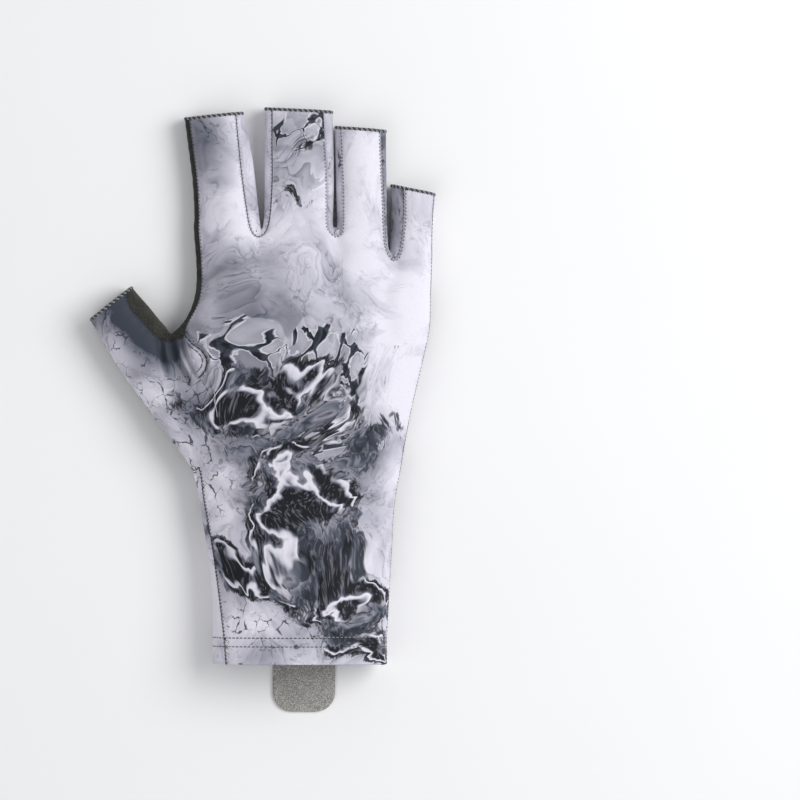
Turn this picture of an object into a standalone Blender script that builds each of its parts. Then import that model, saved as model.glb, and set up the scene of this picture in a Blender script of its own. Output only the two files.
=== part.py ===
"""A fingerless fishing glove for the right hand, lying palm down.

The glove is one smooth surface, made from a coarse cage with a Subdivision Surface. It is cut along its seams into
panels, each a fabric wall of its own. The grip patches, bands and tab are sewn on below the palm.

Sizes are in millimetres until an object is made. x runs across the hand to the little finger from the middle of the
cuff, y from the hem to the fingertips, and z up from the surface that the glove lies on.
"""

from collections import namedtuple
from math import asin, cos, degrees, radians, sin

import bmesh
import bpy
import numpy as np

MM = 0.001

# Driving sizes
BODY_LENGTH = 164.0
PALM_WIDTH = 92.0
PALM_HEIGHT = 22.0
CUFF_WIDTH = 67.0
CUFF_HEIGHT = 23.5
FABRIC = 1.2
HEM_DEPTH = 8.5
HEM_WALL = 2.0
PATCH = 1.1
SEAM_GAP = 0.3
PATCH_GAP = 0.3

INDEX_LENGTH, INDEX_WIDTH, INDEX_HEIGHT = 45.6, 22.1, 12.5
MIDDLE_LENGTH, MIDDLE_WIDTH, MIDDLE_HEIGHT = 47.7, 25.7, 13.0
RING_LENGTH, RING_WIDTH, RING_HEIGHT = 44.2, 19.3, 12.5
LITTLE_LENGTH, LITTLE_WIDTH, LITTLE_HEIGHT = 25.9, 16.8, 11.5
THUMB_LENGTH, THUMB_WIDTH, THUMB_HEIGHT = 53.0, 20.2, 13.5
THUMB_ANGLE = 38.0

THENAR_WIDTH, THENAR_LENGTH = 44.4, 74.7
HYPOTHENAR_WIDTH, HYPOTHENAR_LENGTH = 20.2, 67.2
MIDDLE_BAND_WIDTH, RING_BAND_WIDTH = 12.0, 13.5
TAB_HEAD_RADIUS = 16.0
TAB_HEAD_RISE = 21.5
TAB_NECK_WIDTH = 22.4
TAB_TONGUE_WIDTH = 24.0
TAB_TONGUE_LENGTH = 18.5
TAB_CORNER = 7.5

# The palm fabric lies on its patches, which lie on the floor
REST = PATCH + PATCH_GAP
# The sides of every row stand at this share of its height, and its underside is drawn this far too low before it
# is flattened at rest
SIDE_SHARE = 0.42
SAG = 1.0
TIP_CROWN = 0.92
BORDER_INSET = SEAM_GAP / 2.0 + 0.03
HEM_STEP = 1.5
SUBDIVISIONS = 1
HEAD_SIDES, CORNER_SIDES = 28, 6

# Where the columns of the cage run: shares of the width from the thumb side, at the cuff and at the knuckles,
# how far along the body each one ends, and how much it dips there
Column = namedtuple("Column", "cuff knuckle end dip")
BACK_COLUMNS = (
    Column(0.07, 0.015, 0.994, 1.0),
    Column(0.16, 0.130, 1.000, 1.0),
    Column(0.28, 0.266, 0.997, 0.8),
    Column(0.43, 0.425, 1.012, 1.0),
    Column(0.58, 0.592, 1.000, 0.8),
    Column(0.70, 0.707, 0.985, 1.0),
    Column(0.82, 0.837, 0.945, 0.85),
    Column(0.91, 0.924, 0.936, 1.0),
    Column(0.97, 0.975, 0.930, 1.0),
)
PALM_COLUMNS = (
    Column(0.04, 0.035, 0.994, 1.0),
    Column(0.14, 0.120, 1.000, 1.0),
    Column(0.28, 0.270, 0.997, 1.0),
    Column(0.43, 0.425, 1.012, 1.0),
    Column(0.58, 0.592, 1.000, 1.0),
    Column(0.70, 0.707, 0.985, 1.0),
    Column(0.82, 0.837, 0.945, 1.0),
    Column(0.91, 0.924, 0.936, 1.0),
    Column(0.97, 0.970, 0.930, 1.0),
)
SIDE_END = {"left": 0.994, "right": 0.930}

# Rows of the body: along the body, spread from the cuff's size (0) to the palm's (1), the left and right edges as
# shares of the local width, the crown as a share of the local height, the radial seam as a share of the width,
# and how much the row follows the knuckles
BodyRow = namedtuple("BodyRow", "along spread left right crown seam lean")
BODY_ROWS = (
    BodyRow(0.000, 0.00, -0.497, 0.503, 1.00, 0.075, 0.0),
    BodyRow(0.052, 0.00, -0.497, 0.503, 1.00, 0.064, 0.0),
    BodyRow(0.152, 0.02, -0.496, 0.508, 0.98, 0.036, 0.0),
    BodyRow(0.262, 0.13, -0.499, 0.502, 0.95, 0.020, 0.0),
    BodyRow(0.366, 0.29, -0.510, 0.490, 0.93, 0.018, 0.0),
    BodyRow(0.457, 0.52, -0.515, 0.486, 0.95, 0.030, 0.0),
    BodyRow(0.610, 0.75, -0.520, 0.505, 1.00, 0.130, 0.1),
    BodyRow(0.774, 0.90, -0.531, 0.548, 0.93, 0.034, 0.3),
    BodyRow(0.862, 1.00, -0.432, 0.546, 0.82, 0.015, 0.5),
    BodyRow(1.000, 1.00, -0.437, 0.554, 0.66, 0.015, 1.0),
)
THUMB_ROWS = (5, 6, 7)

# The crotches between the fingers: across and along as shares of the palm's width and the body's length
WEBS = ((-0.159, 1.018), (0.144, 1.022), (0.371, 0.968))

# Rows of a finger stall: along its length, its centre line as a share of the palm's width, its width, and its
# seams as shares of the local width from the thumb side, on the back and, at the left, under the palm
FingerRow = namedtuple("FingerRow", "along centre width left_seam right_seam under_left")
Finger = namedtuple("Finger", "length width height slant root_left root_right rows")
FINGERS = {
    "index": Finger(INDEX_LENGTH, INDEX_WIDTH, INDEX_HEIGHT, 0.100, 1.000, 1.000, (
        FingerRow(0.14, -0.303, 1.120, 0.050, 0.830, 0.12),
        FingerRow(0.42, -0.314, 1.080, 0.055, 0.800, 0.12),
        FingerRow(0.70, -0.331, 1.063, 0.055, 0.810, 0.12),
        FingerRow(1.00, -0.357, 1.000, 0.060, 0.880, 0.12),
    )),
    "middle": Finger(MIDDLE_LENGTH, MIDDLE_WIDTH, MIDDLE_HEIGHT, -0.050, 1.000, 1.000, (
        FingerRow(0.12, -0.0054, 1.020, 0.060, 0.927, 0.10),
        FingerRow(0.40, -0.0027, 1.031, 0.098, 0.910, 0.12),
        FingerRow(0.70, -0.0027, 1.023, 0.095, 0.890, 0.12),
        FingerRow(1.00, -0.0049, 1.000, 0.093, 0.875, 0.12),
    )),
    "ring": Finger(RING_LENGTH, RING_WIDTH, RING_HEIGHT, -0.078, 1.000, 0.955, (
        FingerRow(0.12, 0.2600, 1.010, 0.100, 0.955, 0.12),
        FingerRow(0.40, 0.2565, 1.010, 0.117, 0.945, 0.13),
        FingerRow(0.70, 0.2540, 1.010, 0.107, 0.925, 0.13),
        FingerRow(1.00, 0.2527, 1.000, 0.080, 0.907, 0.13),
    )),
    "little": Finger(LITTLE_LENGTH, LITTLE_WIDTH, LITTLE_HEIGHT, -0.196, 0.965, 0.930, (
        FingerRow(0.18, 0.4650, 0.982, 0.250, 0.900, 0.15),
        FingerRow(0.45, 0.4655, 0.988, 0.307, 0.900, 0.17),
        FingerRow(0.72, 0.4675, 0.994, 0.310, 0.900, 0.18),
        FingerRow(1.00, 0.4700, 1.000, 0.298, 0.900, 0.18),
    )),
}
SUEDE_UNDER_INDEX = 0.50
UNDER_SEAM_SHIFT = 0.03
LITTLE_UNDER_SIDE = 0.97

# The thumb stall runs from a point in the ball of the thumb. Its rows give its outer and inner edges, along and
# across as shares of its length and width, the seam of its back as a share of the row, and its crown
THUMB_START = (-0.430, 0.585)
THUMB_BACK_SHARES = (0.10, 0.47)
THUMB_UNDER_SHARES = (0.88, 0.50, 0.12)
ThumbRow = namedtuple("ThumbRow", "outer_along outer_across inner_along inner_across seam crown")
THUMB_STALL = (
    ThumbRow(-0.026, -0.708, 0.606, 0.559, 0.886, 1.24),
    ThumbRow(0.290, -0.678, 0.683, 0.525, 0.814, 1.14),
    ThumbRow(0.574, -0.639, 0.802, 0.520, 0.788, 1.06),
    ThumbRow(0.819, -0.574, 0.902, 0.505, 0.770, 1.02),
    ThumbRow(1.000, -0.500, 1.000, 0.500, 0.866, 1.00),
)

# Folds pressed into the back: both ends across and along, as shares of the palm's width and the body's length,
# and depth and half width in shares of the palm's height
Fold = namedtuple("Fold", "x0 y0 x1 y1 depth width")
FOLDS = (
    Fold(-0.575, 0.752, -0.560, 0.700, 0.060, 0.13),
    Fold(-0.520, 0.740, -0.468, 0.675, 0.080, 0.13),
    Fold(-0.447, 0.448, -0.335, 0.395, 0.070, 0.15),
    Fold(-0.180, 0.960, -0.120, 0.860, 0.050, 0.20),
    Fold(0.145, 0.970, 0.120, 0.890, 0.045, 0.18),
    Fold(0.395, 0.920, 0.340, 0.850, 0.050, 0.18),
)

# Outlines of the patches, round the edge, as shares of each patch's own width and length about its own place
OutlinePoint = namedtuple("OutlinePoint", "across along corner")
THENAR_PLACE = (-0.133, 0.442)
THENAR_OUTLINE = tuple(OutlinePoint(x, y, False) for x, y in (
    (-0.18, 0.500), (-0.025, 0.482), (0.175, 0.340), (0.39, 0.165), (0.50, 0.020), (0.47, -0.115),
    (0.315, -0.355), (0.135, -0.470), (-0.065, -0.500), (-0.205, -0.455), (-0.325, -0.290), (-0.42, -0.070),
    (-0.50, 0.165), (-0.44, 0.340), (-0.32, 0.450),
))
HYPOTHENAR_PLACE = (0.355, 0.405)
HYPOTHENAR_OUTLINE = tuple(OutlinePoint(x, y, False) for x, y in (
    (0.015, 0.490), (0.260, 0.500), (0.500, 0.473), (0.406, 0.305), (0.223, -0.007), (0.139, -0.260),
    (0.079, -0.446), (-0.010, -0.498), (-0.134, -0.454), (-0.356, -0.245), (-0.500, -0.030), (-0.356, 0.231),
    (-0.208, 0.391),
))
# The grip follows the palm's width and the body's length
GRIP_OUTLINE = (
    OutlinePoint(0.503, 0.722, True), OutlinePoint(0.437, 0.749, False), OutlinePoint(0.316, 0.770, False),
    OutlinePoint(0.159, 0.794, False), OutlinePoint(-0.001, 0.816, False), OutlinePoint(-0.121, 0.830, False),
    OutlinePoint(-0.322, 0.831, True), OutlinePoint(-0.325, 0.990, True), OutlinePoint(-0.350, 1.270, True),
    OutlinePoint(-0.253, 1.270, True), OutlinePoint(-0.197, 1.120, True), OutlinePoint(-0.165, 1.030, True),
    OutlinePoint(-0.115, 1.040, True), OutlinePoint(-0.100, 1.092, True), OutlinePoint(0.099, 1.092, True),
    OutlinePoint(0.112, 1.045, False), OutlinePoint(0.145, 0.990, False), OutlinePoint(0.183, 0.972, False),
    OutlinePoint(0.237, 0.945, False), OutlinePoint(0.316, 0.921, False), OutlinePoint(0.437, 0.899, False),
    OutlinePoint(0.540, 0.870, True),
)
# Bands: finger, centre along the stall, and width along it
Band = namedtuple("Band", "finger along width")
BANDS = {
    "middle_band": Band("middle", 0.60, MIDDLE_BAND_WIDTH),
    "ring_band": Band("ring", 0.665, RING_BAND_WIDTH),
}
TAB_ACROSS = 0.016

# Colours: base colour and roughness
FINISHES = {
    "print": ((0.62, 0.62, 0.70), 0.75),
    "side_strip": ((0.30, 0.32, 0.40), 0.75),
    "suede": ((0.065, 0.065, 0.055), 0.95),
    "grip": ((0.085, 0.088, 0.080), 0.85),
    "band": ((0.140, 0.130, 0.115), 0.95),
    "tab": ((0.225, 0.215, 0.200), 0.95),
}
PANELS = {
    "back_panel": "print",
    "palm_panel": "print",
    "fourchette_index_middle": "side_strip",
    "fourchette_middle_ring": "side_strip",
    "fourchette_ring_pinky": "side_strip",
    "index_side": "suede",
    "thumb_palm": "suede",
}


def mix(a, b, share):
    return a + (b - a) * share


def dome(share, power=2.4):
    """Height of a rounded back at a share of its width: 0 at both edges and 1 at the middle."""
    return (1.0 - abs(2.0 * share - 1.0) ** power) ** 0.5


def belly(share):
    """The same for a flattened underside: almost flat, with quick turns at the edges."""
    return (1.0 - abs(2.0 * share - 1.0) ** 4) ** (1.0 / 3.0)


class Cage:
    """Points that the finished surface passes through, and the four-sided faces between them."""

    def __init__(self):
        self.points = []
        self.faces = []
        self.panels = []
        self.under = []

    def point(self, x, y, z):
        self.points.append((x, y, z))
        return len(self.points) - 1

    def loft(self, ring, after, panels, under):
        """Faces from one closed ring of points to the next. A panel of None leaves its face open."""
        for j, panel in enumerate(panels):
            k = (j + 1) % len(ring)
            if panel is None:
                continue
            self.faces.append((ring[j], ring[k], after[k], after[j]))
            self.panels.append(panel)
            self.under.append(j in under)


def body_ring(cage, row):
    """One row of the body: nine points over the back, the ulnar side, nine under the palm, the radial side."""
    width = mix(CUFF_WIDTH, PALM_WIDTH, row.spread)
    height = mix(CUFF_HEIGHT, PALM_HEIGHT, row.spread) * row.crown
    left, right = row.left * width, row.right * width
    side = REST + SIDE_SHARE * height

    def along(end):
        return BODY_LENGTH * (row.along + row.lean * (end - 1.0))

    def across(column):
        return mix(left, right, mix(column.cuff, column.knuckle, row.spread))

    ring = []
    for number, column in enumerate(BACK_COLUMNS):
        x = mix(left, right, row.seam) if number == 0 else across(column)
        crown = REST + height * mix(1.0, column.dip, row.lean ** 3)
        z = mix(side, crown, dome((x - left) / (right - left)))
        ring.append(cage.point(x, along(column.end), z))
    ring.append(cage.point(right, along(SIDE_END["right"]), side))
    for column in reversed(PALM_COLUMNS):
        x = across(column)
        z = mix(side, REST - SAG, belly((x - left) / (right - left)))
        ring.append(cage.point(x, along(column.end), z))
    ring.append(cage.point(left, along(SIDE_END["left"]), side))
    return ring


def finger_ring(cage, finger, row, first, last):
    """One row of a stall: back seam, back, back seam, side, palm seam, palm, palm seam, side."""
    width = finger.width * row.width
    left = PALM_WIDTH * row.centre - width / 2.0
    height = finger.height * mix(1.0, TIP_CROWN, row.along)
    side = REST + SIDE_SHARE * height
    slant = finger.slant * finger.width

    def place(share, z):
        root = BODY_LENGTH * mix(finger.root_left, finger.root_right, share)
        centre = BODY_LENGTH * mix(finger.root_left, finger.root_right, 0.5)
        tip = centre + finger.length + slant * (share - 0.5)
        return cage.point(left + share * width, mix(root, tip, row.along), z)

    def top(share):
        return place(share, mix(side, REST + height, dome(share)))

    def under(share):
        return place(share, mix(side, REST - SAG, belly(share)))

    under_right = LITTLE_UNDER_SIDE if last else row.right_seam - UNDER_SEAM_SHIFT
    middle = SUEDE_UNDER_INDEX if first else mix(row.under_left, under_right, 0.5)
    return [
        top(row.left_seam), top(mix(row.left_seam, row.right_seam, 0.5)), top(row.right_seam), place(1.0, side),
        under(under_right), under(middle), under(row.under_left), place(0.0, side),
    ]


def thumb_ring(cage, row):
    """One row of the thumb stall, in the same order as a finger's, with its outer edge at the left."""
    angle = radians(THUMB_ANGLE)
    start = (THUMB_START[0] * PALM_WIDTH, THUMB_START[1] * BODY_LENGTH)

    def on_plane(along, across):
        a, c = along * THUMB_LENGTH, across * THUMB_WIDTH
        return start[0] - a * sin(angle) + c * cos(angle), start[1] + a * cos(angle) + c * sin(angle)

    outer = on_plane(row.outer_along, row.outer_across)
    inner = on_plane(row.inner_along, row.inner_across)
    height = THUMB_HEIGHT * row.crown
    side = REST + SIDE_SHARE * height

    def place(share, z):
        return cage.point(mix(outer[0], inner[0], share), mix(outer[1], inner[1], share), z)

    def top(share):
        return place(share, mix(side, REST + height, dome(share)))

    def under(share):
        return place(share, mix(side, REST - SAG, belly(share)))

    backs = [top(share) for share in (*THUMB_BACK_SHARES, row.seam)]
    palms = [under(share) for share in THUMB_UNDER_SHARES]
    return [*backs, place(1.0, side), *palms, place(0.0, side)]


BACK, PALM, SUEDE, THUMB = "back_panel", "palm_panel", "index_side", "thumb_palm"
INDEX_MIDDLE, MIDDLE_RING, RING_LITTLE = (
    "fourchette_index_middle", "fourchette_middle_ring", "fourchette_ring_pinky")


def build_body(cage):
    rings = [body_ring(cage, row) for row in BODY_ROWS]
    start, middle, end = THUMB_ROWS
    for i in range(len(rings) - 1):
        back, palm = [BACK] * 9, [PALM] * 9
        if i < start:
            sides = [PALM, PALM]
        elif i < end:
            sides = [None, None]
        else:
            palm[8] = SUEDE
            sides = [SUEDE, SUEDE]
        cage.loft(rings[i], rings[i + 1], back + palm + sides, range(9, 19))
    return rings


def build_fingers(cage, knuckles):
    """The knuckle row splits into four rings, which share their web points."""
    backs, palms = knuckles[0:9], knuckles[18:9:-1]
    webs = []
    for (across, along), finger in zip(WEBS, (MIDDLE_HEIGHT, RING_HEIGHT, LITTLE_HEIGHT)):
        webs.append(cage.point(across * PALM_WIDTH, along * BODY_LENGTH, REST + SIDE_SHARE * finger))
    sides = [knuckles[19], *webs, knuckles[9]]
    panels = {
        "index": [BACK, BACK, INDEX_MIDDLE, INDEX_MIDDLE, PALM, SUEDE, SUEDE, SUEDE],
        "middle": [BACK, BACK, MIDDLE_RING, MIDDLE_RING, PALM, PALM, INDEX_MIDDLE, INDEX_MIDDLE],
        "ring": [BACK, BACK, RING_LITTLE, RING_LITTLE, PALM, PALM, MIDDLE_RING, MIDDLE_RING],
        "little": [BACK, BACK, BACK, PALM, PALM, PALM, RING_LITTLE, RING_LITTLE],
    }
    for number, (name, finger) in enumerate(FINGERS.items()):
        b, p = backs[2 * number:2 * number + 3], palms[2 * number:2 * number + 3]
        ring = [b[0], b[1], b[2], sides[number + 1], p[2], p[1], p[0], sides[number]]
        for row in finger.rows:
            after = finger_ring(cage, finger, row, name == "index", name == "little")
            cage.loft(ring, after, panels[name], (4, 5))
            ring = after


def build_thumb(cage, rings):
    """The thumb stall grows from the opening left in the radial side of the body."""
    a, m, b = (rings[i] for i in THUMB_ROWS)
    ring = [a[0], m[0], b[0], b[19], b[18], m[18], a[18], a[19]]
    for number, row in enumerate(THUMB_STALL):
        after = thumb_ring(cage, row)
        inner = SUEDE if number == 0 else THUMB
        cage.loft(ring, after, [BACK, BACK, inner, inner, THUMB, THUMB, THUMB, BACK], (4, 5, 6))
        ring = after


def drop_unused(cage):
    """The radial side point of the thumb's middle row has no face, and leaves the cage."""
    used = sorted({index for face in cage.faces for index in face})
    number = {index: i for i, index in enumerate(used)}
    cage.points = [cage.points[index] for index in used]
    cage.faces = [tuple(number[index] for index in face) for face in cage.faces]


def limit_weights(count, faces):
    """The matrix that gives, from the cage's points, where its Catmull-Clark surface passes each of them."""
    edges, corners, sides = {}, {}, [set() for _ in range(count)]
    for face in faces:
        for j in range(4):
            a, b, opposite = face[j], face[(j + 1) % 4], face[(j + 2) % 4]
            edges.setdefault(frozenset((a, b)), []).append(face)
            corners.setdefault(a, []).append(opposite)
            sides[a].add(b)
            sides[b].add(a)
    open_ends = {}
    for edge, owners in edges.items():
        if len(owners) == 1:
            a, b = edge
            open_ends.setdefault(a, []).append(b)
            open_ends.setdefault(b, []).append(a)
    weights = np.zeros((count, count))
    for v in range(count):
        if v in open_ends:
            weights[v, v] = 4.0 / 6.0
            for w in open_ends[v]:
                weights[v, w] += 1.0 / 6.0
            continue
        n = len(sides[v])
        total = n * (n + 5.0)
        weights[v, v] = n * n / total
        for w in sides[v]:
            weights[v, w] += 4.0 / total
        for w in corners[v]:
            weights[v, w] += 1.0 / total
    return weights


def pushed_out(cage, rounds=6):
    """Cage corners moved off the surface's points until the smooth surface passes them."""
    target = np.array(cage.points)
    weights = limit_weights(len(target), cage.faces)
    corners = target.copy()
    for _ in range(rounds):
        corners += target - weights @ corners
    return corners


def smooth_form(cage):
    """The glove's outer surface as points, faces, and each face's place in the cage."""
    mesh = bpy.data.meshes.new("glove_cage")
    mesh.from_pydata([tuple(p) for p in pushed_out(cage)], [], cage.faces)
    form = bpy.data.objects.new("glove_cage", mesh)
    bpy.context.scene.collection.objects.link(form)
    modifier = form.modifiers.new("Subdivision", "SUBSURF")
    modifier.levels = modifier.render_levels = SUBDIVISIONS
    fine = form.evaluated_get(bpy.context.evaluated_depsgraph_get()).to_mesh()
    points = np.array([tuple(v.co) for v in fine.vertices])
    faces = np.array([tuple(p.vertices) for p in fine.polygons])
    bpy.data.objects.remove(form)
    owner = np.arange(len(faces)) // 4 ** SUBDIVISIONS
    return points, faces, owner


def fold(points, normals):
    """Presses the folds into the back and rests the underside flat."""
    shape = points.copy()
    for f in FOLDS:
        a = np.array((f.x0 * PALM_WIDTH, f.y0 * BODY_LENGTH))
        b = np.array((f.x1 * PALM_WIDTH, f.y1 * BODY_LENGTH))
        t = np.clip((points[:, :2] - a) @ (b - a) / ((b - a) @ (b - a)), 0.0, 1.0)
        away = np.linalg.norm(points[:, :2] - (a + t[:, None] * (b - a)), axis=1)
        press = f.depth * PALM_HEIGHT * np.exp(-((away / (f.width * PALM_HEIGHT)) ** 2))
        shape[:, 2] -= press * np.clip(normals[:, 2], 0.0, 1.0)
    shape[:, 2] = np.maximum(shape[:, 2], REST)
    return shape


def point_normals(points, faces):
    """Outward normal at each point, from all the faces round it."""
    a, b, c, d = (points[faces[:, j]] for j in range(4))
    across = np.cross(c - a, d - b)
    normals = np.zeros_like(points)
    for j in range(4):
        np.add.at(normals, faces[:, j], across)
    return normals / np.linalg.norm(normals, axis=1)[:, None]


def border_edges(faces):
    """The open edges of a set of faces, in the faces' own direction."""
    edges = {}
    for face in faces:
        for a, b in zip(face, np.roll(face, -1)):
            edges[(int(a), int(b))] = True
    return [(a, b) for a, b in edges if (b, a) not in edges]


def drawn_in(points, faces, border, by):
    """Moves the border's points into the panel, along the surface and square to the border."""
    middle = {}
    for face in faces:
        centre = points[face].mean(axis=0)
        for index in face:
            middle.setdefault(int(index), []).append(centre)
    onward = dict(border)
    back = {b: a for a, b in border}
    shifted = points.copy()
    for v in onward:
        run = points[onward[v]] - points[back[v]]
        run /= np.linalg.norm(run)
        inward = np.mean(middle[v], axis=0) - points[v]
        inward -= run * (inward @ run)
        shifted[v] += by * inward / np.linalg.norm(inward)
    return shifted


def wall_mesh(outer, inner, faces, border):
    """Points and faces of a closed wall between two copies of the same faces."""
    used = sorted({int(i) for face in faces for i in face})
    number = {index: i for i, index in enumerate(used)}
    count = len(used)
    points = np.vstack((outer[used], inner[used]))
    solid = [tuple(number[int(i)] for i in face) for face in faces]
    solid += [tuple(count + number[int(i)] for i in reversed(face)) for face in faces]
    solid += [(number[b], number[a], count + number[a], count + number[b]) for a, b in border]
    return points, solid


def new_object(name, points, faces, collection):
    mesh = bpy.data.meshes.new(name)
    mesh.from_pydata([tuple(MM * c for c in p) for p in points], [], faces)
    mesh.validate()
    shape = bpy.data.objects.new(name, mesh)
    collection.objects.link(shape)
    return shape


def finish(shape, finish_name, materials):
    shape.data.materials.clear()
    shape.data.materials.append(materials[finish_name])
    shape.data.shade_smooth()
    shape.data.set_sharp_from_angle(angle=radians(40.0))


def make_material(name, colour, roughness):
    material = bpy.data.materials.new(name)
    material.use_nodes = True
    shader = material.node_tree.nodes["Principled BSDF"]
    shader.inputs["Base Color"].default_value = (*colour, 1.0)
    shader.inputs["Roughness"].default_value = roughness
    shader.inputs["Metallic"].default_value = 0.0
    return material


def make_panels(form, cage, collection, materials):
    """Each panel is its share of the surface, drawn in from its seams, with the fabric's thickness inwards."""
    points, faces, owner = form
    normals = point_normals(points, faces)
    panel_of = np.array(cage.panels)[owner]
    hem = np.clip((HEM_DEPTH + HEM_STEP - points[:, 1]) / HEM_STEP, 0.0, 1.0)
    wall = mix(FABRIC, HEM_WALL, hem)
    for name, finish_name in PANELS.items():
        own = faces[panel_of == name]
        border = border_edges(own)
        outer = drawn_in(points, own, border, BORDER_INSET)
        inner = outer - normals * wall[:, None]
        panel = new_object(name, *wall_mesh(outer, inner, own, border), collection)
        finish(panel, finish_name, materials)


def palm_skin(form, cage, collection):
    """A sheet of patch material under the whole palm, from which the patches are cut."""
    points, faces, owner = form
    own = faces[np.array(cage.under)[owner]]
    normals = point_normals(points, faces)
    border = border_edges(own)
    near = drawn_in(points, own, border, 2.0 * SEAM_GAP)
    inner = near + normals * PATCH_GAP
    outer = near + normals * (PATCH_GAP + PATCH)
    outer[:, 2] = np.where(outer[:, 2] < 0.15 * PATCH, 0.0, outer[:, 2])
    skin = new_object("palm_skin", *wall_mesh(outer, inner, own, border), collection)
    as_guide(skin)
    return skin


def as_guide(shape):
    shape.hide_render = True
    shape.display_type = "WIRE"


def outline_cutter(name, points, collection):
    """A tall prism over an outline: straight at its corners and smooth through its other points."""
    curve = bpy.data.curves.new(name, "CURVE")
    curve.dimensions = "2D"
    curve.fill_mode = "BOTH"
    curve.extrude = PALM_HEIGHT * MM
    curve.resolution_u = 3
    spline = curve.splines.new("BEZIER")
    spline.bezier_points.add(len(points) - 1)
    spline.use_cyclic_u = True
    for bezier, (x, y, corner) in zip(spline.bezier_points, points):
        bezier.co = (x * MM, y * MM, 0.0)
        bezier.handle_left_type = bezier.handle_right_type = "VECTOR" if corner else "AUTO"
    drawn = bpy.data.objects.new(name + "_outline", curve)
    collection.objects.link(drawn)
    cutter = as_mesh(drawn, name, collection)
    as_guide(cutter)
    return cutter


def as_mesh(drawn, name, collection):
    """A closed mesh object from a curve, which is removed."""
    evaluated = drawn.evaluated_get(bpy.context.evaluated_depsgraph_get())
    mesh = bpy.data.meshes.new_from_object(evaluated)
    build = bmesh.new()
    build.from_mesh(mesh)
    bmesh.ops.remove_doubles(build, verts=build.verts, dist=1e-6)
    bmesh.ops.recalc_face_normals(build, faces=build.faces)
    build.to_mesh(mesh)
    build.free()
    mesh.name = name
    shape = bpy.data.objects.new(name, mesh)
    shape.matrix_world = drawn.matrix_world
    collection.objects.link(shape)
    curve = drawn.data
    bpy.data.objects.remove(drawn)
    bpy.data.curves.remove(curve)
    return shape


def cut_patch(name, skin, outline, finish_name, collection, cutters, materials):
    """The skin where it lies inside the outline."""
    cutter = outline_cutter(name + "_cutter", outline, cutters)
    patch = bpy.data.objects.new(name, skin.data.copy())
    collection.objects.link(patch)
    modifier = patch.modifiers.new("Outline", "BOOLEAN")
    modifier.operation = "INTERSECT"
    modifier.solver = "EXACT"
    modifier.object = cutter
    finish(patch, finish_name, materials)


def placed_outline(outline, centre, width, length):
    return [(centre[0] + p.across * width, centre[1] + p.along * length, p.corner) for p in outline]


def band_outline(band):
    """A straight band across one stall, wider than the stall, which trims its ends."""
    finger = FINGERS[band.finger]
    row = min(finger.rows, key=lambda r: abs(r.along - band.along))
    x = row.centre * PALM_WIDTH
    half = 0.5 * finger.width * row.width
    root = BODY_LENGTH * mix(finger.root_left, finger.root_right, 0.5)
    y = root + band.along * finger.length
    return [(x + i * half, y + j * band.width / 2.0, True) for i, j in ((-1, -1), (1, -1), (1, 1), (-1, 1))]


def make_patches(form, cage, collection, cutters, materials):
    skin = palm_skin(form, cage, cutters)
    thenar = (THENAR_PLACE[0] * PALM_WIDTH, THENAR_PLACE[1] * BODY_LENGTH)
    hypothenar = (HYPOTHENAR_PLACE[0] * PALM_WIDTH, HYPOTHENAR_PLACE[1] * BODY_LENGTH)
    outlines = {
        "palm_grip": (placed_outline(GRIP_OUTLINE, (0.0, 0.0), PALM_WIDTH, BODY_LENGTH), "grip"),
        "thenar_pad": (placed_outline(THENAR_OUTLINE, thenar, THENAR_WIDTH, THENAR_LENGTH), "grip"),
        "hypothenar_pad": (
            placed_outline(HYPOTHENAR_OUTLINE, hypothenar, HYPOTHENAR_WIDTH, HYPOTHENAR_LENGTH), "grip"),
    }
    for name, band in BANDS.items():
        outlines[name] = (band_outline(band), "band")
    for name, (outline, finish_name) in outlines.items():
        cut_patch(name, skin, outline, finish_name, collection, cutters, materials)


def arc(centre, radius, first, last, steps):
    angles = [radians(mix(first, last, i / steps)) for i in range(steps + 1)]
    return [(centre[0] + radius * cos(a), centre[1] + radius * sin(a)) for a in angles]


def tab_outline():
    """A keyhole: a round head sewn under the cuff, and a tongue with round corners past the hem."""
    half, neck = TAB_TONGUE_WIDTH / 2.0, TAB_NECK_WIDTH / 2.0
    corner = half - TAB_CORNER
    low = TAB_CORNER - TAB_TONGUE_LENGTH
    neck_angle = degrees(asin(neck / TAB_HEAD_RADIUS))
    head = arc((0.0, TAB_HEAD_RISE), TAB_HEAD_RADIUS, neck_angle - 90.0, 270.0 - neck_angle, HEAD_SIDES)
    left = [(-half, 0.0), *arc((-corner, low), TAB_CORNER, 180.0, 270.0, CORNER_SIDES)]
    right = [*arc((corner, low), TAB_CORNER, 270.0, 360.0, CORNER_SIDES), (half, 0.0)]
    return head + left + right


def make_tab(collection, materials):
    """A flat plate on the floor, under the cuff."""
    curve = bpy.data.curves.new("pull_tab", "CURVE")
    curve.dimensions = "2D"
    curve.fill_mode = "BOTH"
    curve.extrude = PATCH * MM / 2.0
    spline = curve.splines.new("POLY")
    outline = tab_outline()
    spline.points.add(len(outline) - 1)
    spline.use_cyclic_u = True
    for point, (x, y) in zip(spline.points, outline):
        point.co = ((x + TAB_ACROSS * PALM_WIDTH) * MM, y * MM, 0.0, 1.0)
    drawn = bpy.data.objects.new("pull_tab_outline", curve)
    drawn.location = (0.0, 0.0, PATCH * MM / 2.0)
    collection.objects.link(drawn)
    bpy.context.view_layer.update()
    tab = as_mesh(drawn, "pull_tab", collection)
    finish(tab, "tab", materials)


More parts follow.
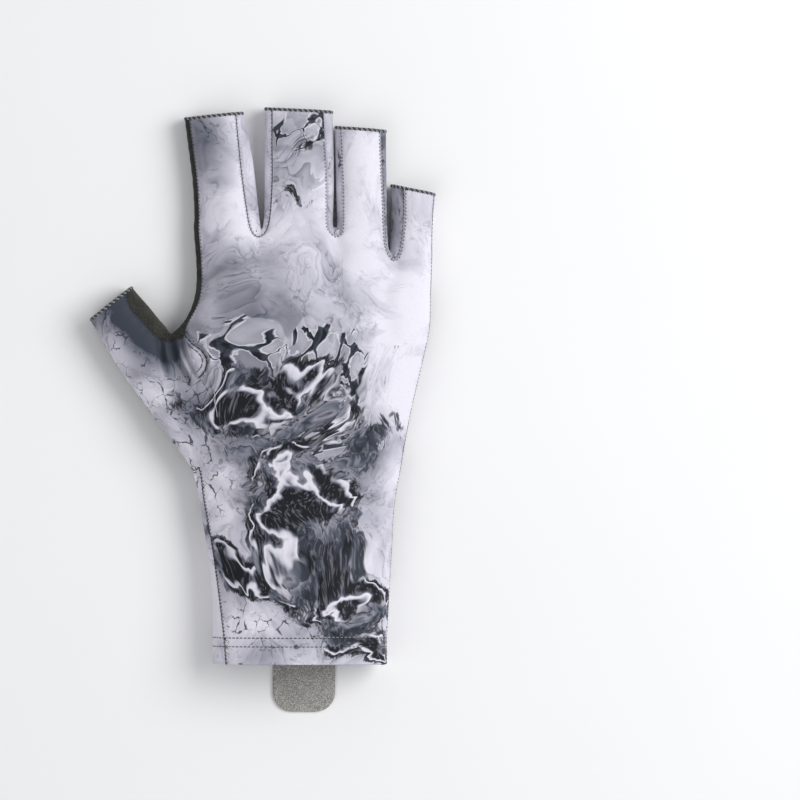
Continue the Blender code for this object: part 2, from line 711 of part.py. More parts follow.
def stand_on_origin(collection, cutters):
    """Hangs pieces and cutters on one empty, which moves the middle of the glove's footprint to the origin."""
    bpy.context.view_layer.update()
    graph = bpy.context.evaluated_depsgraph_get()
    corners = []
    for piece in collection.objects:
        evaluated = piece.evaluated_get(graph)
        corners += [evaluated.matrix_world @ v.co for v in evaluated.data.vertices]
    corners = np.array([tuple(c) for c in corners])
    centre = (corners.min(axis=0) + corners.max(axis=0)) / 2.0
    glove = bpy.data.objects.new("glove", None)
    glove.location = (-centre[0], -centre[1], 0.0)
    for piece in [*collection.objects, *cutters.objects]:
        piece.parent = glove
    collection.objects.link(glove)


def clear_scene():
    for shape in list(bpy.data.objects):
        bpy.data.objects.remove(shape, do_unlink=True)


def main():
    clear_scene()
    collection = bpy.data.collections.new("fishing_glove")
    cutters = bpy.data.collections.new("guides")
    for group in (collection, cutters):
        bpy.context.scene.collection.children.link(group)
    materials = {name: make_material(name, *values) for name, values in FINISHES.items()}
    cage = Cage()
    rings = build_body(cage)
    build_fingers(cage, rings[-1])
    build_thumb(cage, rings)
    drop_unused(cage)
    points, faces, owner = smooth_form(cage)
    points = fold(points, point_normals(points, faces))
    form = (points, faces, owner)
    make_panels(form, cage, collection, materials)
    make_patches(form, cage, collection, cutters, materials)
    make_tab(collection, materials)
    stand_on_origin(collection, cutters)


main()
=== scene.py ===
"""The looks of the fishing glove: dressed panels, seams, stitches, grip patches and cloth materials.

The panels are made again from the part's own tables on a finer cage. Lengths are in millimetres in the
tables' frame, x across the hand from the middle of the cuff and y from the hem, until a mesh is made in
the row frame.
"""

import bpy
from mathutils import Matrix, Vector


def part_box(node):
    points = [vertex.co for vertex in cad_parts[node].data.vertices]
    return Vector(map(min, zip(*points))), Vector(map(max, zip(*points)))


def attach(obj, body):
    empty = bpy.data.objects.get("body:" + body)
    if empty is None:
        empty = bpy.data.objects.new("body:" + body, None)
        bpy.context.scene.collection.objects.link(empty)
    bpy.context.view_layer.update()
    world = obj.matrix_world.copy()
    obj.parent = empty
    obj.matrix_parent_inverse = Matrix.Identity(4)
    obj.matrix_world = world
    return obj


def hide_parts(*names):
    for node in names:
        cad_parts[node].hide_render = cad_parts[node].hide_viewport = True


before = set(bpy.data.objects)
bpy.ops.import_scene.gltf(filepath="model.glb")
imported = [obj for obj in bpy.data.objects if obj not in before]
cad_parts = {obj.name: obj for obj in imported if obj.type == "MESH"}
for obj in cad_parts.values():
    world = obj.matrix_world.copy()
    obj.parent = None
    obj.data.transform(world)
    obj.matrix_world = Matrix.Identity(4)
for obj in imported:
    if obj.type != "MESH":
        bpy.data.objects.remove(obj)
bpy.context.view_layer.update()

from collections import namedtuple
from math import asin, cos, degrees, pi, radians, sin

import bpy
import numpy as np
from mathutils import Vector, noise
from mathutils.bvhtree import BVHTree
from mathutils.geometry import delaunay_2d_cdt
from mathutils.kdtree import KDTree

MM = 0.001


def rows(kind, *values):
    """A table: each row's values under the kind's column names."""
    return tuple(kind(*row) for row in values)


# The part's sizes
BODY_LENGTH = 164.0
PALM_WIDTH, PALM_HEIGHT = 92.0, 22.0
CUFF_WIDTH, CUFF_HEIGHT = 67.0, 23.5
HEM_DEPTH = 8.5
THUMB_LENGTH, THUMB_WIDTH, THUMB_HEIGHT = 53.0, 20.2, 13.5
THUMB_ANGLE = 38.0
THENAR_WIDTH, THENAR_LENGTH = 44.4, 74.7
HYPOTHENAR_WIDTH, HYPOTHENAR_LENGTH = 20.2, 67.2
TAB_HEAD_RADIUS, TAB_HEAD_RISE = 16.0, 21.5
TAB_NECK_WIDTH, TAB_TONGUE_WIDTH, TAB_TONGUE_LENGTH = 22.4, 24.0, 18.5
TAB_CORNER = 7.5
TAB_ACROSS = 0.016
PATCH = 1.1
REST = 1.4
SIDE_SHARE = 0.42
SAG = 1.0
TIP_CROWN = 0.92

# Where the tables' frame lies in the row frame
tab_low, tab_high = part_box("pull_tab")
SHIFT = np.array((
    (tab_low.x + tab_high.x) / 2.0 / MM - TAB_ACROSS * PALM_WIDTH,
    tab_low.y / MM + TAB_TONGUE_LENGTH,
    0.0,
))

# Fineness of the cloth: subdivisions of the cage for its outside and its inside
OUTER_LEVEL, INNER_LEVEL = ((4, 3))
FABRIC = 0.8
HEM_WALL = 1.9
HEM_FADE = 2.5
ROOM_ROUNDS, ROOM_LIMIT = 6, 1.6

# Lines of points up the hand: shares of its width at cuff and knuckles and of its length at the stalls
Column = namedtuple("Column", "cuff knuckle end dip", defaults=(1.0,))
BACK_COLUMNS = rows(
    Column,
    (0.07, 0.015, 0.994), (0.16, 0.130, 1.000), (0.28, 0.266, 0.997, 0.8), (0.43, 0.425, 1.012),
    (0.58, 0.592, 1.000, 0.8), (0.70, 0.707, 0.985), (0.82, 0.837, 0.945, 0.85), (0.91, 0.924, 0.936),
    (0.97, 0.975, 0.930),
)
PALM_COLUMNS = rows(
    Column,
    (0.04, 0.035, 0.994), (0.14, 0.120, 1.000), (0.28, 0.270, 0.997), (0.43, 0.425, 1.012),
    (0.58, 0.592, 1.000), (0.70, 0.707, 0.985), (0.82, 0.837, 0.945), (0.91, 0.924, 0.936),
    (0.97, 0.970, 0.930),
)
LEFT_END, RIGHT_END = 0.994, 0.930
# A ring round the hand runs over the back, then its right side, back under the palm, and its left side last
ACROSS = len(BACK_COLUMNS)

BodyRow = namedtuple("BodyRow", "along spread left right crown seam lean")
BODY_ROWS = rows(
    BodyRow,
    (0.000, 0.00, -0.497, 0.503, 1.00, 0.075, 0.0),
    (0.052, 0.00, -0.497, 0.503, 1.00, 0.064, 0.0),
    (0.152, 0.02, -0.496, 0.508, 0.98, 0.036, 0.0),
    (0.262, 0.13, -0.499, 0.502, 0.95, 0.020, 0.0),
    (0.366, 0.29, -0.510, 0.490, 0.93, 0.018, 0.0),
    (0.457, 0.52, -0.515, 0.486, 0.95, 0.030, 0.0),
    (0.610, 0.75, -0.520, 0.505, 1.00, 0.130, 0.1),
    (0.774, 0.90, -0.531, 0.548, 0.93, 0.034, 0.3),
    (0.862, 1.00, -0.432, 0.546, 0.82, 0.015, 0.5),
    (1.000, 1.00, -0.437, 0.554, 0.66, 0.015, 1.0),
)
THUMB_ROWS = (5, 6, 7)
WEBS = ((-0.159, 1.018), (0.144, 1.022), (0.371, 0.968))

FingerRow = namedtuple("FingerRow", "along centre width left_seam right_seam under_left")
Finger = namedtuple("Finger", "length width height slant root_left root_right rows")
FINGERS = {
    "index": Finger(45.6, 22.1, 12.5, 0.100, 1.000, 1.000, rows(
        FingerRow,
        (0.14, -0.303, 1.120, 0.050, 0.830, 0.12), (0.42, -0.314, 1.080, 0.055, 0.800, 0.12),
        (0.70, -0.331, 1.063, 0.055, 0.810, 0.12), (1.00, -0.357, 1.000, 0.060, 0.880, 0.12),
    )),
    "middle": Finger(47.7, 25.7, 13.0, -0.050, 1.000, 1.000, rows(
        FingerRow,
        (0.12, -0.0054, 1.020, 0.060, 0.927, 0.10), (0.40, -0.0027, 1.031, 0.098, 0.910, 0.12),
        (0.70, -0.0027, 1.023, 0.095, 0.890, 0.12), (1.00, -0.0049, 1.000, 0.093, 0.875, 0.12),
    )),
    "ring": Finger(44.2, 19.3, 12.5, -0.078, 1.000, 0.955, rows(
        FingerRow,
        (0.12, 0.2600, 1.010, 0.100, 0.955, 0.12), (0.40, 0.2565, 1.010, 0.117, 0.945, 0.13),
        (0.70, 0.2540, 1.010, 0.107, 0.925, 0.13), (1.00, 0.2527, 1.000, 0.080, 0.907, 0.13),
    )),
    "little": Finger(25.9, 16.8, 11.5, -0.196, 0.965, 0.930, rows(
        FingerRow,
        (0.18, 0.4650, 0.982, 0.250, 0.900, 0.15), (0.45, 0.4655, 0.988, 0.307, 0.900, 0.17),
        (0.72, 0.4675, 0.994, 0.310, 0.900, 0.18), (1.00, 0.4700, 1.000, 0.298, 0.900, 0.18),
    )),
}
SUEDE_UNDER_INDEX = 0.50
UNDER_SEAM_SHIFT = 0.03
LITTLE_UNDER_SIDE = 0.97
THUMB_START = (-0.430, 0.585)
THUMB_BACK_SHARES = (0.10, 0.47)
THUMB_UNDER_SHARES = (0.88, 0.50, 0.12)
ThumbRow = namedtuple("ThumbRow", "outer_along outer_across inner_along inner_across seam crown")
THUMB_STALL = rows(
    ThumbRow,
    (-0.026, -0.708, 0.606, 0.559, 0.886, 1.24),
    (0.290, -0.678, 0.683, 0.525, 0.814, 1.14),
    (0.574, -0.639, 0.802, 0.520, 0.788, 1.06),
    (0.819, -0.574, 0.902, 0.505, 0.770, 1.02),
    (1.000, -0.500, 1.000, 0.500, 0.866, 1.00),
)
Fold = namedtuple("Fold", "x0 y0 x1 y1 depth width")
FOLDS = rows(
    Fold,
    (-0.575, 0.752, -0.560, 0.700, 0.060, 0.13), (-0.520, 0.740, -0.468, 0.675, 0.080, 0.13),
    (-0.447, 0.448, -0.335, 0.395, 0.070, 0.15), (-0.180, 0.960, -0.120, 0.860, 0.050, 0.20),
    (0.145, 0.970, 0.120, 0.890, 0.045, 0.18), (0.395, 0.920, 0.340, 0.850, 0.050, 0.18),
)
OutlinePoint = namedtuple("OutlinePoint", "across along sharp", defaults=(False,))
THENAR_PLACE = (-0.133, 0.442)
THENAR_OUTLINE = rows(
    OutlinePoint,
    (-0.18, 0.500), (-0.025, 0.482), (0.175, 0.340), (0.39, 0.165), (0.50, 0.020), (0.47, -0.115),
    (0.315, -0.355), (0.135, -0.470), (-0.065, -0.500), (-0.205, -0.455), (-0.325, -0.290), (-0.42, -0.070),
    (-0.50, 0.165), (-0.44, 0.340), (-0.32, 0.450),
)
HYPOTHENAR_PLACE = (0.355, 0.405)
HYPOTHENAR_OUTLINE = rows(
    OutlinePoint,
    (0.015, 0.490), (0.260, 0.500), (0.500, 0.473), (0.406, 0.305), (0.223, -0.007), (0.139, -0.260),
    (0.079, -0.446), (-0.010, -0.498), (-0.134, -0.454), (-0.356, -0.245), (-0.500, -0.030), (-0.356, 0.231),
    (-0.208, 0.391),
)
GRIP_OUTLINE = rows(
    OutlinePoint,
    (0.503, 0.722, True), (0.437, 0.749), (0.316, 0.770), (0.159, 0.794), (-0.001, 0.816), (-0.121, 0.830),
    (-0.322, 0.831, True), (-0.325, 0.990, True), (-0.350, 1.270, True), (-0.253, 1.270, True),
    (-0.197, 1.120, True), (-0.165, 1.030, True), (-0.115, 1.040, True), (-0.100, 1.092, True),
    (0.099, 1.092, True), (0.112, 1.045), (0.145, 0.990), (0.183, 0.972), (0.237, 0.945), (0.316, 0.921),
    (0.437, 0.899), (0.540, 0.870, True),
)
Band = namedtuple("Band", "finger along width")
BANDS = {"middle_band": Band("middle", 0.60, 12.0), "ring_band": Band("ring", 0.665, 13.5)}


def mix(a, b, share):
    return a + (b - a) * share


def smooth(x, low, high):
    """0 below low, 1 above high, and a smooth turn between."""
    t = np.clip((x - low) / (high - low), 0.0, 1.0)
    return t * t * (3.0 - 2.0 * t)


def unit(vectors):
    return vectors / np.linalg.norm(vectors, axis=-1)[..., None]


def distances(line):
    """How far along an open line each of its points lies."""
    return np.concatenate(([0.0], np.cumsum(np.linalg.norm(np.diff(line, axis=0), axis=1))))


def interpolated(at, along, values):
    """Rows of values at the given distances, where they are known at others."""
    return np.stack([np.interp(at, along, values[:, k]) for k in range(values.shape[1])], axis=-1)


DOME_POWER, BELLY_POWER = 2.4, 4


def dome(share):
    return (1.0 - abs(2.0 * share - 1.0) ** DOME_POWER) ** 0.5


def belly(share):
    return (1.0 - abs(2.0 * share - 1.0) ** BELLY_POWER) ** (1.0 / 3.0)


class Cage:
    """Points that the surface passes through, and the four-sided faces between them."""

    def __init__(self):
        self.points, self.faces, self.panels, self.under = [], [], [], []

    def point(self, x, y, z):
        self.points.append((x, y, z))
        return len(self.points) - 1

    def loft(self, ring, after, panels, under):
        for j, panel in enumerate(panels):
            k = (j + 1) % len(ring)
            if panel is None:
                continue
            self.faces.append((ring[j], ring[k], after[k], after[j]))
            self.panels.append(panel)
            self.under.append(j in under)


def body_ring(cage, row):
    width = mix(CUFF_WIDTH, PALM_WIDTH, row.spread)
    height = mix(CUFF_HEIGHT, PALM_HEIGHT, row.spread) * row.crown
    left, right = row.left * width, row.right * width
    side = REST + SIDE_SHARE * height

    def along(end):
        return BODY_LENGTH * (row.along + row.lean * (end - 1.0))

    def across(column):
        return mix(left, right, mix(column.cuff, column.knuckle, row.spread))

    ring = []
    for number, column in enumerate(BACK_COLUMNS):
        x = mix(left, right, row.seam) if number == 0 else across(column)
        crown = REST + height * mix(1.0, column.dip, row.lean ** 3)
        z = mix(side, crown, dome((x - left) / (right - left)))
        ring.append(cage.point(x, along(column.end), z))
    ring.append(cage.point(right, along(RIGHT_END), side))
    for column in reversed(PALM_COLUMNS):
        x = across(column)
        z = mix(side, REST - SAG, belly((x - left) / (right - left)))
        ring.append(cage.point(x, along(column.end), z))
    ring.append(cage.point(left, along(LEFT_END), side))
    return ring


def finger_ring(cage, finger, row, first, last):
    width = finger.width * row.width
    left = PALM_WIDTH * row.centre - width / 2.0
    height = finger.height * mix(1.0, TIP_CROWN, row.along)
    side = REST + SIDE_SHARE * height
    slant = finger.slant * finger.width

    def place(share, z):
        root = BODY_LENGTH * mix(finger.root_left, finger.root_right, share)
        centre = BODY_LENGTH * mix(finger.root_left, finger.root_right, 0.5)
        tip = centre + finger.length + slant * (share - 0.5)
        return cage.point(left + share * width, mix(root, tip, row.along), z)

    def top(share):
        return place(share, mix(side, REST + height, dome(share)))

    def under(share):
        return place(share, mix(side, REST - SAG, belly(share)))

    under_right = LITTLE_UNDER_SIDE if last else row.right_seam - UNDER_SEAM_SHIFT
    middle = SUEDE_UNDER_INDEX if first else mix(row.under_left, under_right, 0.5)
    return [
        top(row.left_seam), top(mix(row.left_seam, row.right_seam, 0.5)), top(row.right_seam),
        place(1.0, side), under(under_right), under(middle), under(row.under_left), place(0.0, side),
    ]


def thumb_ring(cage, row):
    angle = radians(THUMB_ANGLE)
    start = (THUMB_START[0] * PALM_WIDTH, THUMB_START[1] * BODY_LENGTH)

    def on_plane(along, across):
        a, c = along * THUMB_LENGTH, across * THUMB_WIDTH
        return start[0] - a * sin(angle) + c * cos(angle), start[1] + a * cos(angle) + c * sin(angle)

    outer = on_plane(row.outer_along, row.outer_across)
    inner = on_plane(row.inner_along, row.inner_across)
    height = THUMB_HEIGHT * row.crown
    side = REST + SIDE_SHARE * height

    def place(share, z):
        return cage.point(mix(outer[0], inner[0], share), mix(outer[1], inner[1], share), z)

    backs = [place(share, mix(side, REST + height, dome(share))) for share in (*THUMB_BACK_SHARES, row.seam)]
    palms = [place(share, mix(side, REST - SAG, belly(share))) for share in THUMB_UNDER_SHARES]
    return [*backs, place(1.0, side), *palms, place(0.0, side)]


BACK, PALM, SUEDE, THUMB = "back_panel", "palm_panel", "index_side", "thumb_palm"
STRIPS = ("fourchette_index_middle", "fourchette_middle_ring", "fourchette_ring_pinky")
INDEX_MIDDLE, MIDDLE_RING, RING_LITTLE = STRIPS
PANELS = (BACK, PALM, *STRIPS, SUEDE, THUMB)


def build_body(cage):
    rings = [body_ring(cage, row) for row in BODY_ROWS]
    start, _, end = THUMB_ROWS
    for i in range(len(rings) - 1):
        back, palm = [BACK] * ACROSS, [PALM] * ACROSS
        if i < start:
            sides = [PALM, PALM]
        elif i < end:
            sides = [None, None]
        else:
            palm[-1] = SUEDE
            sides = [SUEDE, SUEDE]
        cage.loft(rings[i], rings[i + 1], back + palm + sides, range(ACROSS, 2 * ACROSS + 1))
    return rings


def build_fingers(cage, knuckles):
    backs, palms = knuckles[:ACROSS], knuckles[2 * ACROSS:ACROSS:-1]
    webs = []
    for (across, along), finger in zip(WEBS, list(FINGERS.values())[1:]):
        webs.append(cage.point(across * PALM_WIDTH, along * BODY_LENGTH, REST + SIDE_SHARE * finger.height))
    sides = [knuckles[-1], *webs, knuckles[ACROSS]]
    panels = {
        "index": [BACK, BACK, INDEX_MIDDLE, INDEX_MIDDLE, PALM, SUEDE, SUEDE, SUEDE],
        "middle": [BACK, BACK, MIDDLE_RING, MIDDLE_RING, PALM, PALM, INDEX_MIDDLE, INDEX_MIDDLE],
        "ring": [BACK, BACK, RING_LITTLE, RING_LITTLE, PALM, PALM, MIDDLE_RING, MIDDLE_RING],
        "little": [BACK, BACK, BACK, PALM, PALM, PALM, RING_LITTLE, RING_LITTLE],
    }
    for number, (name, finger) in enumerate(FINGERS.items()):
        b, p = backs[2 * number:2 * number + 3], palms[2 * number:2 * number + 3]
        ring = [b[0], b[1], b[2], sides[number + 1], p[2], p[1], p[0], sides[number]]
        for row in finger.rows:
            after = finger_ring(cage, finger, row, name == "index", name == "little")
            cage.loft(ring, after, panels[name], (4, 5))
            ring = after


def build_thumb(cage, rings):
    a, m, b = (rings[i] for i in THUMB_ROWS)
    ring = [a[0], m[0], b[0], b[-1], b[-2], m[-2], a[-2], a[-1]]
    for number, row in enumerate(THUMB_STALL):
        after = thumb_ring(cage, row)
        inner = SUEDE if number == 0 else THUMB
        cage.loft(ring, after, [BACK, BACK, inner, inner, THUMB, THUMB, THUMB, BACK], (4, 5, 6))
        ring = after


def drop_unused(cage):
    used = sorted({index for face in cage.faces for index in face})
    number = {index: i for i, index in enumerate(used)}
    cage.points = [cage.points[index] for index in used]
    cage.faces = [tuple(number[index] for index in face) for face in cage.faces]


def limit_weights(count, faces):
    """The matrix that gives, from the cage's points, where its Catmull-Clark surface passes each of them."""
    edges, corners, sides = {}, {}, [set() for _ in range(count)]
    for face in faces:
        for j in range(4):
            a, b, opposite = face[j], face[(j + 1) % 4], face[(j + 2) % 4]
            edges.setdefault(frozenset((a, b)), []).append(face)
            corners.setdefault(a, []).append(opposite)
            sides[a].add(b)
            sides[b].add(a)
    open_ends = {}
    for edge, owners in edges.items():
        if len(owners) == 1:
            a, b = edge
            open_ends.setdefault(a, []).append(b)
            open_ends.setdefault(b, []).append(a)
    weights = np.zeros((count, count))
    for v in range(count):
        if v in open_ends:
            weights[v, v] = 4.0 / 6.0
            for w in open_ends[v]:
                weights[v, w] += 1.0 / 6.0
            continue
        n = len(sides[v])
        total = n * (n + 5.0)
        weights[v, v] = n * n / total
        for w in sides[v]:
            weights[v, w] += 4.0 / total
        for w in corners[v]:
            weights[v, w] += 1.0 / total
    return weights


PUSH_ROUNDS = 6


def pushed_out(cage):
    """Cage corners moved off the surface's points until the smooth surface passes them."""
    target = np.array(cage.points)
    weights = limit_weights(len(target), cage.faces)
    corners = target.copy()
    for _ in range(PUSH_ROUNDS):
        corners += target - weights @ corners
    return corners


def subdivided(corners, faces, level):
    """The smooth surface as points, faces, and each face's place in the cage."""
    mesh = bpy.data.meshes.new("glove_cage")
    mesh.from_pydata([tuple(p) for p in corners], [], faces)
    form = bpy.data.objects.new("glove_cage", mesh)
    bpy.context.scene.collection.objects.link(form)
    modifier = form.modifiers.new("Subdivision", "SUBSURF")
    modifier.levels = modifier.render_levels = level
    fine = form.evaluated_get(bpy.context.evaluated_depsgraph_get()).to_mesh()
    points = np.empty(len(fine.vertices) * 3)
    fine.vertices.foreach_get("co", points)
    quads = np.empty(len(fine.loops), dtype=np.int32)
    fine.loops.foreach_get("vertex_index", quads)
    bpy.data.objects.remove(form)
    quads = quads.reshape(-1, 4).astype(np.int64)
    return points.reshape(-1, 3), quads, np.arange(len(quads)) // 4 ** level


def point_normals(points, faces):
    a, b, c, d = (points[faces[:, j]] for j in range(4))
    across = np.cross(c - a, d - b)
    normals = np.zeros_like(points)
    for j in range(4):
        np.add.at(normals, faces[:, j], across)
    return unit(normals)


def directed_edges(faces):
    return faces.ravel(), np.roll(faces, -1, axis=1).ravel()


def border_loops(faces):
    """The open edges of a set of faces as closed loops of points, in the faces' own direction."""
    a, b = directed_edges(faces)
    size = int(faces.max()) + 1
    open_edge = ~np.isin(a * size + b, b * size + a)
    onward = dict(zip(a[open_edge].tolist(), b[open_edge].tolist()))
    loops = []
    while onward:
        first, second = onward.popitem()
        loop = [first]
        while second != first:
            loop.append(second)
            second = onward.pop(second)
        loops.append(np.array(loop))
    return loops


# The sharpest corner that a mitre follows, on cloth and in the plane, as the cosine of its turn
CLOTH_MITRE, FLAT_MITRE = -0.6, -0.5


def inward_at(points, normals, loop):
    """At each point of a border loop, the mitred direction into the panel."""
    run = unit(points[np.roll(loop, -1)] - points[loop])
    n = normals[loop]
    after = unit(np.cross(n, run))
    before = unit(np.roll(np.cross(np.roll(n, -1, axis=0), run), 1, axis=0))
    dot = np.clip((after * before).sum(axis=1), CLOTH_MITRE, 1.0)
    return (after + before) / (1.0 + dot)[:, None]


def tree_of(points):
    tree = KDTree(len(points))
    for i, p in enumerate(points.tolist()):
        tree.insert(p, i)
    tree.balance()
    return tree


def nearest(tree, points, reach):
    """Index of the nearest tree point and its distance, for each point within reach; others get -1."""
    index = np.full(len(points), -1)
    away = np.full(len(points), reach)
    for i, p in enumerate(points.tolist()):
        _, found, distance = tree.find(p)
        if distance < reach:
            index[i], away[i] = found, distance
    return index, away


def new_piece(name, points, faces, materials, face_material=None):
    """A mesh object in the row frame from points in the tables' frame."""
    mesh = bpy.data.meshes.new(name)
    mesh.from_pydata(((np.asarray(points) + SHIFT) * MM).tolist(), [], faces)
    for material in materials:
        mesh.materials.append(material)
    if face_material is not None:
        mesh.polygons.foreach_set("material_index", np.asarray(face_material, dtype=np.int32))
    mesh.shade_smooth()
    mesh.update()
    piece = bpy.data.objects.new(name, mesh)
    bpy.context.scene.collection.objects.link(piece)
    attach(piece, "root")
    return piece


def strip(ring, after):
    """Four-sided faces between two closed rings of points."""
    ring, after = list(ring), list(after)
    return list(zip(ring, ring[1:] + ring[:1], after[1:] + after[:1], after))


def relaxed(points, faces, weight, rounds):
    """Points drawn towards the middle of their neighbours, as far as each one's weight says."""
    a, b = directed_edges(faces)
    count = len(points)
    ways = np.bincount(a, minlength=count) + np.bincount(b, minlength=count)
    shape = points.copy()
    for _ in range(rounds):
        for k in range(3):
            row = shape[:, k]
            total = np.bincount(a, row[b], minlength=count) + np.bincount(b, row[a], minlength=count)
            row += weight * (total / ways - row)
    return shape


# Places where the stall or thumb meets the hand, over which the back runs evenly
Ease = namedtuple("Ease", "x y width length")
EASES = rows(Ease, (-34.0, 94.0, 16.0, 26.0), (6.0, 166.0, 52.0, 9.0), (-46.0, 108.0, 16.0, 18.0))
EASE_ROUNDS = 160
EASE_FADE, SEAM_FADE, UP_FADE = (0.45, 1.0), (1.5, 5.0), (0.2, 0.5)
SEAM_REACH = 10.0


def eased(points, normals, faces, seam_points):
    """Evens out the back where the hand runs into its stalls, and leaves its seams."""
    _, away = nearest(tree_of(points[seam_points]), points, SEAM_REACH)
    weight = np.zeros(len(points))
    for e in EASES:
        off = np.hypot((points[:, 0] - e.x) / e.width, (points[:, 1] - e.y) / e.length)
        weight = np.maximum(weight, 1.0 - smooth(off, *EASE_FADE))
    weight *= smooth(away, *SEAM_FADE) * smooth(normals[:, 2], *UP_FADE)
    return relaxed(points, faces, weight, EASE_ROUNDS)


def fold_room(points, normals, faces, rounds):
    """How much further in the inside lies, so that its larger faces stay inside every fold."""
    even = relaxed(points, faces, 1.0, rounds)
    room = np.clip(((even - points) * normals).sum(axis=1), 0.0, None)
    a, b = directed_edges(faces)
    for _ in range(rounds // 2):
        wide = room.copy()
        np.maximum.at(wide, a, room[b])
        np.maximum.at(wide, b, room[a])
        room = wide
    return room


def beside_line(places, line):
    """Each place's distance from a line in the plane, the side that it lies on and its share of the line."""
    away = np.full(len(places), 1e9)
    side, share = np.zeros(len(places)), np.zeros(len(places))
    along = distances(line)
    for k, (a, b) in enumerate(zip(line[:-1], line[1:])):
        d = b - a
        t = np.clip((places - a) @ d / (d @ d), 0.0, 1.0)
        off = places - (a + t[:, None] * d)
        gone = np.linalg.norm(off, axis=1)
        closer = gone < away
        away = np.where(closer, gone, away)
        side = np.where(closer, np.sign(d[0] * off[:, 1] - d[1] * off[:, 0]), side)
        share = np.where(closer, (along[k] + t * (along[k + 1] - along[k])) / along[-1], share)
    return away, side, share


def fold_into(points, normals, folds):
    """Presses folds into the back, each along a straight line in the plane."""
    press = np.zeros(len(points))
    for f in folds:
        line = np.array(((f.x0 * PALM_WIDTH, f.y0 * BODY_LENGTH), (f.x1 * PALM_WIDTH, f.y1 * BODY_LENGTH)))
        away, _, _ = beside_line(points[:, :2], line)
        press += f.depth * PALM_HEIGHT * np.exp(-((away / (f.width * PALM_HEIGHT)) ** 2))
    shape = points.copy()
    shape[:, 2] -= press * np.clip(normals[:, 2], 0.0, 1.0)
    return shape


# Soft creases over the back: a line in the plane, depth, half width and how much of a ridge rises beside it
Crease = namedtuple("Crease", "line depth width ridge")
CREASES = rows(
    Crease,
    (((-53.4, 125.0), (-52.6, 118.0), (-50.6, 110.5)), 2.0, 1.3, 0.7),
    (((-49.4, 125.0), (-47.2, 117.0), (-42.0, 107.0)), 2.4, 1.3, 0.8),
    (((-45.6, 126.4), (-43.8, 119.5), (-39.4, 109.5)), 1.8, 0.9, 0.4),
    (((-44.0, 125.0), (-40.4, 118.5), (-38.2, 112.5)), -1.1, 2.0, 0.0),
    (((-44.5, 127.0), (-41.4, 123.4), (-37.6, 120.4), (-35.4, 116.3), (-36.2, 112.0), (-39.0, 108.6)),
     2.6, 0.95, 0.4),
    (((-42.0, 127.0), (-36.2, 125.4), (-29.0, 126.4)), 1.0, 1.5, 0.7),
    (((-41.8, 74.5), (-36.0, 69.3), (-29.0, 63.0)), 0.8, 3.0, 0.7),
    (((-38.0, 88.0), (-31.0, 80.0), (-20.0, 73.0)), 0.35, 4.0, 0.8),
    (((-34.5, 152.0), (-31.0, 138.0), (-33.0, 122.0)), 0.60, 4.5, 0.8),
    (((-13.0, 162.0), (-8.0, 146.0), (-12.0, 128.0)), 0.70, 4.5, 0.8),
    (((14.5, 163.0), (12.0, 148.0), (18.0, 130.0)), 0.65, 4.5, 0.8),
    (((35.0, 155.0), (32.0, 140.0), (36.0, 122.0)), 0.60, 4.0, 0.8),
    (((-22.0, 66.0), (-13.0, 50.0), (-14.0, 26.0)), 0.60, 4.5, 0.8),
    (((31.0, 70.0), (24.0, 50.0), (26.0, 28.0)), 0.65, 4.5, 0.8),
    (((5.0, 40.0), (7.0, 24.0), (3.0, 9.0)), 0.60, 3.5, 0.8),
    (((-25.0, 34.0), (-24.0, 20.0), (-25.5, 8.0)), 0.55, 3.0, 0.8),
    (((21.0, 26.0), (20.0, 16.0), (21.5, 7.0)), 0.45, 2.6, 0.8),
    (((46.0, 116.0), (39.0, 98.0), (41.0, 80.0)), 0.60, 4.0, 0.8),
    (((-16.0, 104.0), (-2.0, 96.0), (14.0, 97.0)), 0.40, 5.0, 0.8),
)
RIDGE_OFF, CREASE_REACH = 1.5, 4.0
CREASE_TAPER, CREASE_SPREAD = 0.5, 0.15


def creased(points, normals):
    """The cloth with its soft creases, each a hollow on one side of its line and a ridge on the other."""
    shape = points.copy()
    up = np.clip(normals[:, 2], 0.0, 1.0)
    for c in CREASES:
        away, side, share = beside_line(points[:, :2], np.array(c.line, dtype=float))
        signed = away * side / c.width
        taper = np.sin(pi * np.clip(share, 0.0, 1.0)) ** CREASE_TAPER * (away < CREASE_REACH * c.width)
        ends = np.exp(-((away / c.width) ** 2) * CREASE_SPREAD)
        wave = -np.exp(-(signed ** 2)) + c.ridge * np.exp(-((signed - RIDGE_OFF) ** 2))
        shape += normals * (c.depth * wave * taper * ends * up)[:, None]
    return shape


# Slow swells of cloth that nothing fills: their lengths in x, y and z, where they start, and their height
Swell = namedtuple("Swell", "lengths start height")
SWELLS = rows(Swell, ((26.0, 44.0, 30.0), (0.0, 0.0, 3.1), 0.75), ((9.0, 17.0, 12.0), (7.0, 0.0, 0.0), 0.20))
SIDE_SWELL = 0.35


def undulating(points, normals):
    """The slight unevenness of cloth that nothing fills."""
    push = np.zeros(len(points))
    for s in SWELLS:
        spots = (points / s.lengths + s.start).tolist()
        push += s.height * np.array([noise.noise(Vector(spot)) for spot in spots])
    return points + normals * (push * np.clip(normals[:, 2] + SIDE_SWELL, 0.0, 1.0))[:, None]


VALLEY_DEPTH, VALLEY_WIDTH = 0.38, 2.3
PUCKER_DEPTH, PUCKER_WIDTH, PUCKER_START = 0.11, 3.2, 1.2
PUCKER_STEP, PUCKER_DRIFT, PUCKER_SWAY = 4.6, 11.0, 2.2


